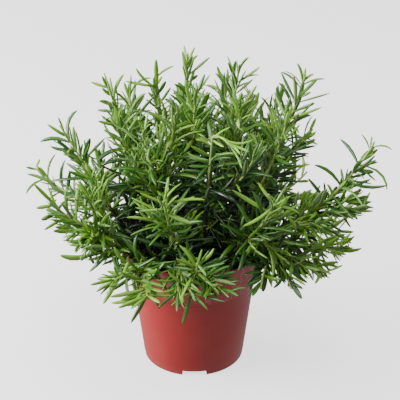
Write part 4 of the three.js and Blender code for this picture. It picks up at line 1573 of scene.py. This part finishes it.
class Foliage:
    """All leaves of one leafy stem, bent and placed together.

    A few tries lift leaves off the pot and the soil, and shorten and draw in those that reach too far.
    Those that still don't fit are left out.
    """

    TRIES = 7
    CLEARANCE = 0.0021
    BOX_MARGIN = 0.0006
    LIFT_STEP = 0.3
    SHORTENING = 0.92
    DRAWING_IN = 0.8
    EDGE_LEVELS = [3, 5]
    BEND_POWER = 1.2
    LIFT_AT_ROOT = 0.35

    def __init__(self, shape: LeafShape, soil: PottingSoil, camera: PhotoCamera) -> None:
        """Starts with no leaves.

        Args:
            shape: The leaf that is copied.
            soil: The soil, with the pot, that leaves keep off.
            camera: The camera that sees where the dense foliage ends.
        """
        self.shape = shape
        self.soil = soil
        self.camera = camera
        self.rows: list[LeafRow] = []

    def add(self, row: LeafRow) -> None:
        """Plans one more leaf."""
        self.rows.append(row)

    def _columns(self) -> dict[str, Array]:
        """The leaves' values as arrays, one row a leaf."""
        names = [part.name for part in fields(LeafRow)]
        return {name: np.array([getattr(row, name) for row in self.rows], float) for name in names}

    @staticmethod
    def _unit(vectors: Array) -> Array:
        """Vectors of length 1."""
        return vectors / np.maximum(np.linalg.norm(vectors, axis=-1, keepdims=True), 1e-12)

    def _directions(self, leaf: dict[str, Array], share: Array) -> Array:
        """The way each leaf runs at shares of its length.

        Args:
            leaf: The leaves' values.
            share: The shares.

        Returns:
            Unit vectors, by leaf and share.
        """
        angle = np.radians(leaf["lean"][:, None] + leaf["bend"][:, None] * share**self.BEND_POWER)
        side = np.cross(leaf["growth"], leaf["away"])
        swing = np.radians(leaf["swing"])[:, None] * share
        way = (
            np.cos(angle)[..., None] * leaf["growth"][:, None]
            + np.sin(angle)[..., None] * leaf["away"][:, None]
            + np.sin(swing)[..., None] * side[:, None]
        )
        way[..., 2] += leaf["lift"][:, None] * (self.LIFT_AT_ROOT + (1 - self.LIFT_AT_ROOT) * share)
        return self._unit(way)

    def _spines(self, leaf: dict[str, Array]) -> Array:
        """The middle line of each leaf.

        Args:
            leaf: The leaves' values.

        Returns:
            Places, by leaf and level of the shape.
        """
        levels = np.array(self.shape.levels)
        middles = (levels[1:] + levels[:-1]) / 2
        steps = self._directions(leaf, middles) * (np.diff(levels) * leaf["length"][:, None])[..., None]
        start = np.zeros_like(steps[:, :1])
        return leaf["root"][:, None] + np.concatenate([start, np.cumsum(steps, axis=1)], axis=1)

    def _in_the_way(self, spines: Array) -> Array:
        """Which leaves meet the pot or the soil.

        Args:
            spines: The leaves' middle lines.

        Returns:
            True for each that does.
        """
        pot = self.soil.pot
        clearance = self.CLEARANCE
        fine = np.concatenate([spines, (spines[:, 1:] + spines[:, :-1]) / 2], axis=1)
        radius = np.hypot(fine[..., 0], fine[..., 1])
        height = fine[..., 2]
        skirt = np.maximum(pot.outer_radius(height), pot.outer_radius(height + clearance)) + clearance
        outside = (height > pot.height + clearance) | (radius > skirt)
        over_soil = height > self.soil.surface(radius) + clearance
        inside = (radius < pot.inner_radius(height) - clearance) & over_soil
        return ~(outside | inside).all(axis=1)

    def _past_outline(self, spines: Array, seen: Array) -> Array:
        """Which leaves reach past the CAD model's box, or past the dense foliage if they aren't seen ones.

        Args:
            spines: The leaves' middle lines.
            seen: 1 for each seen leaf.

        Returns:
            True for each that does.
        """
        low, high = np.array(CAD_LOW) + self.BOX_MARGIN, np.array(CAD_HIGH) - self.BOX_MARGIN
        past_box = ((spines < low) | (spines > high)).any(axis=(1, 2))
        ends = self.camera.pixels(spines[:, self.EDGE_LEVELS])
        return past_box | (~within_crown(ends).all(axis=1) & (seen < 0.5))

    def _fitted(self) -> tuple[dict[str, Array], Array]:
        """Lifts leaves off the pot, and shortens and draws in those that reach too far.

        Returns:
            The values and middle lines of the leaves that are left.
        """
        leaf = self._columns()
        for _ in range(self.TRIES):
            spines = self._spines(leaf)
            leaf["lift"] = leaf["lift"] + self.LIFT_STEP * self._in_the_way(spines)
            past = self._past_outline(spines, leaf["seen"])
            leaf["length"] = leaf["length"] * np.where(past, self.SHORTENING, 1.0)
            for angle in ("lean", "bend", "swing"):
                leaf[angle] = leaf[angle] * np.where(past & (leaf["seen"] < 0.5), self.DRAWING_IN, 1.0)
        spines = self._spines(leaf)
        kept = ~(self._in_the_way(spines) | self._past_outline(spines, leaf["seen"]))
        return {name: value[kept] for name, value in leaf.items()}, spines[kept]

    def build(self, name: str) -> Piece:
        """Makes one mesh of all leaves.

        Args:
            name: The piece's name.

        Returns:
            The piece, with its "leaf" attribute and its UV map.
        """
        leaf, spines = self._fitted()
        count = len(spines)
        levels = np.array(self.shape.levels)
        ways = self._directions(leaf, levels)
        side = np.cross(leaf["growth"], leaf["away"])[:, None]
        side = self._unit(side - (side * ways).sum(-1, keepdims=True) * ways)
        above = np.cross(ways, side)
        above = above + levels[:, None] ** 0.5 * leaf["face"][:, None]
        above = self._unit(above - (above * ways).sum(-1, keepdims=True) * ways)
        side = np.cross(above, ways)
        twist = (np.radians(leaf["twist"])[:, None] * (0.5 + levels))[..., None]
        cos, sin = np.cos(twist), np.sin(twist)
        side, above = side * cos + above * sin, above * cos - side * sin
        level = self.shape.level_of
        width = leaf["width"][:, None, None]
        points = (
            spines[:, level]
            + side[:, level] * self.shape.points[:, 0, None] * width
            + above[:, level] * self.shape.points[:, 2, None] * width
        )
        per_leaf = len(self.shape.points)
        faces = [[i + per_leaf * n for i in face] for n in range(count) for face in self.shape.faces]
        mesh = bpy.data.meshes.new(name)
        mesh.from_pydata(points.reshape(-1, 3).tolist(), [], faces)
        mesh.polygons.foreach_set("use_smooth", [True] * len(mesh.polygons))
        self._paint(mesh, leaf, count)
        mesh.update()
        piece = bpy.data.objects.new(name, mesh)
        bpy.context.collection.objects.link(piece)
        return piece

    def _paint(self, mesh: Mesh, leaf: dict[str, Array], count: int) -> None:
        """Writes the UV map and the "leaf" attribute.

        Args:
            mesh: The mesh.
            leaf: The leaves' values.
            count: How many leaves there are.
        """
        uv = mesh.uv_layers.new(name="UVMap")
        uv.data.foreach_set("uv", np.tile(self.shape.corner_uv, (count, 1)).ravel())
        corners = len(self.shape.corner_under)
        colour = np.ones((count, corners, 4))
        colour[..., 0] = leaf["age"][:, None]
        colour[..., 1] = leaf["tint"][:, None]
        colour[..., 2] = self.shape.corner_under[None]
        paint = mesh.color_attributes.new("leaf", "FLOAT_COLOR", "CORNER")
        paint.data.foreach_set("color", colour.ravel())


# ---- leafy stems


@dataclass
class LeafyStem:
    """One leafy stem: its wood and its leaves, with its branch and side shoots."""

    number: int
    plan: StemPlan
    soil: PottingSoil
    shape: LeafShape
    camera: PhotoCamera
    heart: Heart = Heart()
    # the wood
    radii: Pair = (0.0018, 0.0008)
    branch_radius: float = 0.0013
    side_radius: float = 0.0009
    bend_above_soil: float = 0.0028
    foot_depth: float = 0.015
    # the side shoots: the parts of a stem and of a branch that bear them, their spacing and length, and
    # how they lean along and out, rise or hang, and keep off the rim and the stem's underside
    stem_part: Pair = (0.2, 0.72)
    branch_part: Pair = (0.2, 0.6)
    side_spacing: float = 0.020
    side_lengths: Pair = (0.016, 0.036)
    side_lean: Pair = (0.75, 0.66)
    side_rise: float = 0.2
    side_hang: float = 0.8
    side_age: float = 0.5
    above_rim: float = 0.004
    underside: float = -0.75
    # the leaves: their spacing and tufts, the room that a seen one keeps, how they rise and hang
    bare_foot: float = 0.002
    pair_spacing: float = 0.0055
    tip_spacing: float = 0.0032
    tip_reach: float = 0.03
    tuft_share: float = 0.65
    tufts_from: float = 0.022
    room: float = 0.003
    lift: float = 0.12
    hang: float = 0.9
    hang_reach: float = 0.058
    hang_top: float = 0.175
    bend_out_share: float = 0.68
    # leaves deep among the stems get painted shade, and those out over the right painted light, through
    # their age
    shelter_age: float = 0.8
    sunlit_youth: float = 0.9
    # the bent-over tip, and the bare stretch before it
    crook_slope: float = -75
    crook_bare: float = 0.022
    crooked_age: float = 1.5

    DRAW_SEED = 9000
    GOLDEN_ANGLE = 137.5
    IN_BARK = 0.7
    SAME_SIDE = 0.5
    # seen leaves: how many pixels a metre farther back counts for, how much nearer or farther than its base
    # a tip may be, how much wider they are made, the ends of their colours, and how they face the camera
    BACK_COST = 100
    FRONT_DEPTH = 1.2
    SEEN_DEPTHS = (-0.014, 0.010)
    SEEN_WIDTH = 1.15
    OLDEST_SEEN = 1.2
    YOUNG_TINT = 1.6
    FACE_PULL = 4

    def __post_init__(self) -> None:
        """Sets up the stem's own draws and its shoots."""
        self.draw = random.Random(self.DRAW_SEED + self.number)
        self.shoots = self.planned_shoots()
        self.seen: list[SeenLeaf] = []

    def hold(self, leaf: SeenLeaf) -> tuple[float, Shoot, float]:
        """Where this stem could carry a seen leaf.

        Args:
            leaf: The leaf.

        Returns:
            How ill it fits, in pixels and more for lying far back, the shoot, and the distance along it.
        """
        best = (math.inf, self.shoots[0], 0.0)
        for shoot in self.shoots:
            pixels = self.camera.pixels(shoot.points)
            off = np.hypot(pixels[:, 0] - leaf.base[0], pixels[:, 1] - leaf.base[1])
            cost = off + self.BACK_COST * (self.camera.depths(shoot.points) - self.FRONT_DEPTH)
            nearest = int(cost.argmin())
            if cost[nearest] < best[0]:
                best = (float(cost[nearest]), shoot, float(shoot.lengths[nearest]))
        return best

    @staticmethod
    def shelter(place: Vector) -> float:
        """How deep a place is among the stems over the soil, from 0 to 1."""
        radius, top = 0.066, 0.20
        return fade(radius - math.hypot(place.x, place.y), reach=0.03) * fade(top - place.z, reach=0.05)

    def hollow(self, place: Vector) -> float:
        """How deep in the plant's dark heart a place is, from 0 to 1."""
        point = np.array(place)
        return self.heart.shade(self.camera.pixels(point), float(self.camera.depths(point)))

    @staticmethod
    def sunlit(place: Vector) -> float:
        """How far out over the right of the pot a place is, where leaves are made younger and lighter as
        painted light: 0 to 1.
        """
        start, top = 0.075, 0.165
        return fade(place.x - start, reach=0.03) * fade(top - place.z, reach=0.02)

    def lowness(self, place: Vector) -> float:
        """How far a place is down where shoots and leaves hang clear of the pot, from 0 to 1."""
        outside = math.hypot(place.x, place.y) >= self.hang_reach
        return fade(self.hang_top - place.z, reach=0.05) if outside else 0.0

    def planned_shoots(self) -> list[Shoot]:
        """All shoots of the leafy stem.

        Returns:
            The stem, its branch, the crook if its tip has bent over, and the side shoots.
        """
        x, y = self.plan.root
        surface = self.soil.surface(math.hypot(x, y))
        start = Vector((x, y, surface + self.bend_above_soil))
        tip = Vector(self.plan.tip)
        first = heading_vector(math.atan2(tip.y - y, tip.x - x), self.plan.start)
        stem = Shoot.between(start, first, tip, self.plan.end, self.radii, ShootKind.STEM)
        stem.foot = Vector((x, y, surface - self.foot_depth))
        shoots = [stem]
        if self.plan.branch:
            shoots.append(self.branch_of(stem, self.plan.branch))
        sides = [side for shoot in shoots for side in self.side_shoots_of(shoot)]
        if self.plan.crook:
            stem.age = self.crooked_age
            shoots.append(self.crook_of(stem, Vector(self.plan.crook)))
        return shoots + sides

    def branch_of(self, stem: Shoot, plan: Branch) -> Shoot:
        """The branch of the plan.

        Args:
            stem: The stem that carries it.
            plan: Its plan.

        Returns:
            The branch.
        """
        start, growth, _ = stem.at(plan.at * stem.length)
        tip = Vector(plan.tip)
        along = 0.3
        first = (growth * along + (tip - start).normalized()).normalized()
        radii = (self.branch_radius, self.radii[1])
        return Shoot.between(start, first, tip, plan.end, radii, ShootKind.BRANCH)

    def crook_of(self, stem: Shoot, reach: Vector) -> Shoot:
        """The soft tip that has bent over.

        Args:
            stem: The stem that it ends.
            reach: Where it ends, from the stem's tip.

        Returns:
            The bent tip.
        """
        start, growth, radius = stem.at(stem.length)
        swelling, rise = 1.4, 1.8
        first, tip = growth * rise, start + reach
        radii = (radius * swelling, radius)
        crook = Shoot.between(start, first, tip, self.crook_slope, radii, ShootKind.CROOK)
        crook.age = 0.0
        return crook

    def side_shoots_of(self, stem: Shoot) -> list[Shoot]:
        """Short shoots in the leaf axils of the lower and middle part of a stem.

        Args:
            stem: The stem or branch.

        Returns:
            The side shoots that start clear of the pot and end within the dense foliage.
        """
        sides = []
        draw = self.draw
        first_share, last_share = self.stem_part if stem.kind is ShootKind.STEM else self.branch_part
        distance = stem.length * first_share + self.side_spacing * draw.random()
        turn = draw.uniform(0, 2 * math.pi)
        while distance < stem.length * last_share:
            start, growth, _ = stem.at(distance)
            turn += math.radians(self.GOLDEN_ANGLE + draw.uniform(-25, 25))
            away = Matrix.Rotation(turn, 3, growth) @ growth.orthogonal().normalized()
            first = (growth * self.side_lean[0] + away * self.side_lean[1]).normalized()
            length = draw.uniform(*self.side_lengths) * (1.1 - 0.35 * distance / stem.length)
            rise = self.side_rise - self.side_hang * self.lowness(start)
            tip = start + (first + growth * 0.25 + UP * rise).normalized() * length
            last = (first + UP * (0.3 + rise)).normalized()
            slope = math.degrees(math.asin(max(-1, min(1, last.z))))
            in_view = bool(within_crown(self.camera.pixels(np.array(tip))))
            clear = start.z > self.soil.pot.height + self.above_rim and away.z > self.underside
            if clear and in_view and draw.random() > self.heart.thin * self.hollow(start):
                radii = (self.side_radius, self.side_radius * 0.8)
                side = Shoot.between(start, first, tip, slope, radii, ShootKind.SIDE_SHOOT)
                side.age = self.side_age
                sides.append(side)
            distance += self.side_spacing * draw.uniform(0.7, 1.3)
        return sides

    def wood_of(self, shoot: Shoot, name: str) -> Piece:
        """One shoot's stem, from a curve that is drawn, thickened and made a mesh.

        Args:
            shoot: The shoot.
            name: The object's name.

        Returns:
            The mesh object, with its "stem" attribute.
        """
        deselect_all()
        bpy.ops.curve.primitive_bezier_curve_add()
        wood = name_active(name)
        curve = wood.data
        curve.dimensions = "3D"
        curve.bevel_depth = 1.0
        curve.bevel_resolution = 2
        curve.resolution_u = 20
        curve.use_fill_caps = True
        points = curve.splines[0].bezier_points
        a, b, c, d = shoot.handles
        if shoot.foot is not None:
            points.add(1)
            points[0].co = shoot.foot
            points[0].handle_left_type = points[0].handle_right_type = "VECTOR"
            points[0].radius = shoot.radii[0]
        first, last = points[-2], points[-1]
        for point in (first, last):
            point.handle_left_type = point.handle_right_type = "FREE"
        first.co, first.handle_right = a, b
        first.handle_left = a - UP * 0.002
        last.co, last.handle_left = d, c
        last.handle_right = d + (d - c) * 0.1
        first.radius, last.radius = shoot.radii
        bpy.ops.object.convert(target="MESH")
        self.age_wood(wood.data, shoot)
        return wood

    def age_wood(self, mesh: Mesh, shoot: Shoot) -> None:
        """Writes the stem's age at each vertex, from the nearest place on its curve.

        Args:
            mesh: The stem's mesh.
            shoot: The shoot.
        """
        places = np.array([vertex.co for vertex in mesh.vertices])
        nearest = np.linalg.norm(places[:, None] - shoot.points[None], axis=2).argmin(axis=1)
        age = shoot.age * (1 - shoot.lengths[nearest] / shoot.length)
        colour = np.ones((len(places), 4))
        colour[:, :3] = age[:, None]
        paint = mesh.color_attributes.new("stem", "FLOAT_COLOR", "POINT")
        paint.data.foreach_set("color", colour.ravel())

    def wood(self) -> Piece:
        """The wood of all shoots.

        Returns:
            It, joined to one piece.
        """
        name = f"stem_wood_{self.number:02d}"
        parts = [self.wood_of(shoot, f"{name}_{i}") for i, shoot in enumerate(self.shoots)]
        deselect_all()
        for part in parts:
            part.select_set(True)
        bpy.context.view_layer.objects.active = parts[0]
        bpy.ops.object.join()
        joined = name_active(name)
        settle(joined)
        bpy.ops.object.shade_smooth()
        return joined

    def tint(self) -> float:
        """A leaf's own tint, from 0 to 1."""
        return clamped(self.draw.gauss(0.5, 0.22))

    def leaf_at(
        self, place: Vector, growth: Vector, away: Vector, below: float, size: float = 1.0
    ) -> LeafRow:
        """One leaf with its own small differences.

        Args:
            place: Where it leaves the stem.
            growth: The stem's direction of growth.
            away: The direction straight out of the stem.
            below: How far below the shoot's tip it grows.
            size: What its size is multiplied by.

        Returns:
            The leaf.
        """
        draw = self.draw
        stage = leaf_stage(below)
        mature = min(stage.age, 1)
        fall = 0.15 * mature + self.hang * (self.lowness(place) * (0.4 + 0.6 * mature))
        return LeafRow(
            root=place,
            growth=growth,
            away=away,
            length=stage.length * size * draw.uniform(0.80, 1.15),
            width=stage.width * (0.5 + 0.5 * size) * draw.uniform(0.82, 1.14),
            lean=stage.lean + draw.gauss(0, 9),
            bend=draw.gauss(38, 16) if draw.random() < self.bend_out_share else draw.gauss(-26, 14),
            swing=draw.gauss(0, 20),
            twist=draw.gauss(0, 26),
            lift=self.lift + 0.1 * draw.random() - fall * draw.random(),
            age=max(stage.age + draw.gauss(0, 0.12), 0),
            tint=self.tint(),
        )

    def grow_tuft(self, foliage: Foliage, place: Vector, growth: Vector, away: Vector) -> None:
        """A tuft of small leaves in the axil of a larger one.

        Args:
            foliage: What the leaves are added to.
            place: The axil.
            growth: The stem's direction of growth.
            away: The direction straight out of the stem.
        """
        draw = self.draw
        axis = (growth + away * draw.uniform(0.5, 0.9)).normalized()
        side = axis.orthogonal().normalized()
        turn = draw.uniform(0, 2 * math.pi)
        for i in range(draw.choice((2, 2, 3))):
            out = Matrix.Rotation(turn + i * math.radians(130), 3, axis) @ side
            below, size = draw.uniform(0.001, 0.012), draw.uniform(0.5, 0.8)
            foliage.add(self.leaf_at(place, axis, out, below, size))

    def seen_leaf(self, leaf: SeenLeaf, shoot: Shoot, distance: float) -> LeafRow:
        """One leaf that the photograph shows, as a flat arc.

        A flat arc turns by 8 times its bow over its chord, and it is its chord times 1 + turn² / 24 long.

        Args:
            leaf: The leaf.
            shoot: The shoot that carries it.
            distance: Where, from the shoot's start.

        Returns:
            The leaf, from the shoot to the pixel of its tip.
        """
        draw = self.draw
        place, growth, radius = shoot.at(distance)
        depth = float(self.camera.depths(np.array(place)))
        farther = draw.uniform(*self.SEEN_DEPTHS)
        chord = self.camera.place(leaf.tip, depth + farther) - place
        too_steep, nearer = 0.75, 0.003
        if abs(chord.normalized().dot(growth)) > too_steep:
            chord = self.camera.place(leaf.tip, depth - abs(farther) - nearer) - place
        out = (chord - growth * chord.dot(growth)).normalized()
        root = place + out * radius * self.IN_BARK
        chord -= out * radius * self.IN_BARK
        way = chord.normalized()
        across, down = leaf.tip[0] - leaf.base[0], leaf.tip[1] - leaf.base[1]
        left = (Vector((down, 0, 0)) + self.camera.up * across) * (-1 if leaf.bow < 0 else 1)
        left = (left - way * left.dot(way)).normalized()
        turn = 8 * abs(leaf.bow) / math.hypot(across, down)
        bend = math.degrees(turn)
        stage = leaf_stage(shoot.length - distance)
        return LeafRow(
            root=root,
            growth=left,
            away=way,
            length=chord.length * (1 + turn * turn / 24),
            width=leaf.width * self.SEEN_WIDTH * depth / self.camera.focal_pixels,
            lean=90 - bend / (1 + Foliage.BEND_POWER),
            bend=bend,
            swing=0,
            twist=draw.gauss(0, 16),
            lift=0,
            # a light or dark tone paints light or shade through the age; past 1 the leaf takes the painted
            # shade colour
            age=clamped(min(stage.age, 1) + leaf.tone.value, self.OLDEST_SEEN),
            tint=self.YOUNG_TINT if leaf.tone is Tone.YOUNG else self.tint(),
            face=(self.camera.back + UP * 0.5 + Vector((draw.gauss(0, 0.4), 0, 0))) * self.FACE_PULL,
            seen=True,
        )

    def grow_leaves(self, foliage: Foliage, shoot: Shoot, taken: Sequence[tuple[float, Vector]]) -> None:
        """Opposite pairs of leaves up a shoot, each pair crosswise to the one below.

        Args:
            foliage: What the leaves are added to.
            shoot: The shoot.
            taken: The distances and ways of its seen leaves, beside which no other leaf grows.
        """
        draw = self.draw
        distance = shoot.length * shoot.kind.value + self.bare_foot
        turn = draw.uniform(0, 2 * math.pi)
        bends_over = self.plan.crook is not None and shoot.kind is ShootKind.STEM
        last = shoot.length - (self.crook_bare if bends_over else 0)
        while distance < last:
            below = shoot.length - distance
            place, growth, radius = shoot.at(distance)
            side = growth.orthogonal().normalized()
            turn += math.radians(90 + draw.gauss(0, 9))
            hollow = self.hollow(place)
            for opposite in (0, math.pi):
                away = Matrix.Rotation(turn + opposite, 3, growth) @ side
                missing = draw.random() < hollow * self.heart.bare
                near = [way for other, way in taken if abs(distance - other) < self.room]
                if missing or any(away.dot(way) > self.SAME_SIDE for way in near):
                    continue
                root = place + away * radius * self.IN_BARK
                leaf = self.leaf_at(root, growth, away, below)
                # painted shade: a higher age darkens leaves in the dark heart and among the stems over the
                # soil
                leaf.age += hollow + self.shelter_age * self.shelter(place)
                # painted light: a lower age lightens leaves out over the right of the pot
                leaf.age *= 1 - self.sunlit_youth * self.sunlit(place)
                foliage.add(leaf)
                tufts = self.tuft_share * (1 - self.heart.thin * hollow)
                if below > self.tufts_from and draw.random() < tufts:
                    self.grow_tuft(foliage, root, growth, away)
            wider = (self.pair_spacing - self.tip_spacing) * fade(below, self.tip_reach)
            distance += (self.tip_spacing + wider) * draw.uniform(0.85, 1.15)

    def build(self, leaf_material: Material, stem_material: Material) -> int:
        """Models and dresses the leafy stem.

        Args:
            leaf_material: The leaves' material.
            stem_material: The wood's material.

        Returns:
            The number of leaves planned.
        """
        node = f"leafy_stem_{self.number:02d}"
        foliage = Foliage(self.shape, self.soil, self.camera)
        held = [(leaf, *self.hold(leaf)[1:]) for leaf in self.seen]
        for shoot in self.shoots:
            taken = []
            for leaf, distance in [(leaf, distance) for leaf, on, distance in held if on is shoot]:
                row = self.seen_leaf(leaf, shoot, distance)
                foliage.add(row)
                taken.append((distance, row.away))
            if shoot.kind is not ShootKind.CROOK:
                self.grow_leaves(foliage, shoot, taken)
        finish_piece(self.wood(), stem_material, "leafy_stem", node)
        finish_piece(foliage.build(f"stem_leaves_{self.number:02d}"), leaf_material, "leafy_stem", node)
        return len(foliage.rows)


# ---- studio


@dataclass(frozen=True)
class SoftBox:
    """A square studio light that looks at the plant."""

    name: str
    place: tuple[float, float, float]
    size: float
    power: float
    colour: Colour = (1, 1, 1)

    AIM = (0, 0, 0.13)


@dataclass(frozen=True)
class Studio:
    """A pale floor, white surroundings and soft lights."""

    lights: tuple[SoftBox, ...] = (
        SoftBox("key_light", (-1.35, -0.30, 0.85), 0.9, 46),
        SoftBox("top_light", (0.1, -0.3, 1.7), 1.0, 26),
        SoftBox("left_edge_light", (-1.1, 0.55, 0.35), 0.7, 18),
        SoftBox("right_edge_light", (1.2, 0.40, 0.30), 0.7, 1.6),
    )
    sky: float = 0.34
    floor_size: float = 30

    def build(self) -> None:
        """Sets up the floor, the lights and the white surroundings."""
        self.add_floor()
        for light in self.lights:
            self.add_light(light)
        world = bpy.data.worlds.new("white_surroundings")
        world.use_nodes = True
        world.node_tree.nodes["Background"].inputs["Color"].default_value = (1, 1, 1, 1)
        world.node_tree.nodes["Background"].inputs["Strength"].default_value = self.sky
        bpy.context.scene.world = world

    def add_floor(self) -> None:
        """Lays the floor."""
        deselect_all()
        bpy.ops.mesh.primitive_plane_add(size=self.floor_size, location=(0, 0, 0))
        floor = name_active("studio_floor")
        floor.data.materials.append(PaleFloor().build())
        floor.visible_diffuse = False
        floor.visible_glossy = False

    @staticmethod
    def add_light(box: SoftBox) -> None:
        """Hangs one light.

        Args:
            box: The light.
        """
        deselect_all()
        bpy.ops.object.light_add(type="AREA", location=box.place)
        light = bpy.context.object
        light.name = box.name
        light.data.size = box.size
        light.data.energy = box.power
        light.data.color = box.colour
        towards = Vector(box.AIM) - Vector(box.place)
        light.rotation_euler = towards.to_track_quat("-Z", "Y").to_euler()


# ---- making


def main() -> None:
    """Builds the camera, the studio, the pot, the soil and the leafy stems, in that order."""
    logging.basicConfig(level=logging.INFO, format="%(name)s: %(message)s")
    camera = PhotoCamera()
    camera.build()
    Studio().build()
    pot = NurseryPot()
    pot.build(PotPlastic())
    soil = PottingSoil(pot)
    soil.build(PeatSoil())
    leaf_material = LeafFinish().build()
    stem_material = StemFinish().build()
    shape = LeafShape()
    stems = [LeafyStem(number, plan, soil, shape, camera) for number, plan in enumerate(STEM_PLANS, 1)]
    for leaf in SEEN_LEAVES:
        best = min(stems, key=lambda stem: stem.hold(leaf)[0])
        best.seen.append(leaf)
    leaves = sum(stem.build(leaf_material, stem_material) for stem in stems)
    LOG.info("%d leaves on %d leafy stems", leaves, len(stems))


if __name__ == "__main__":
    main()
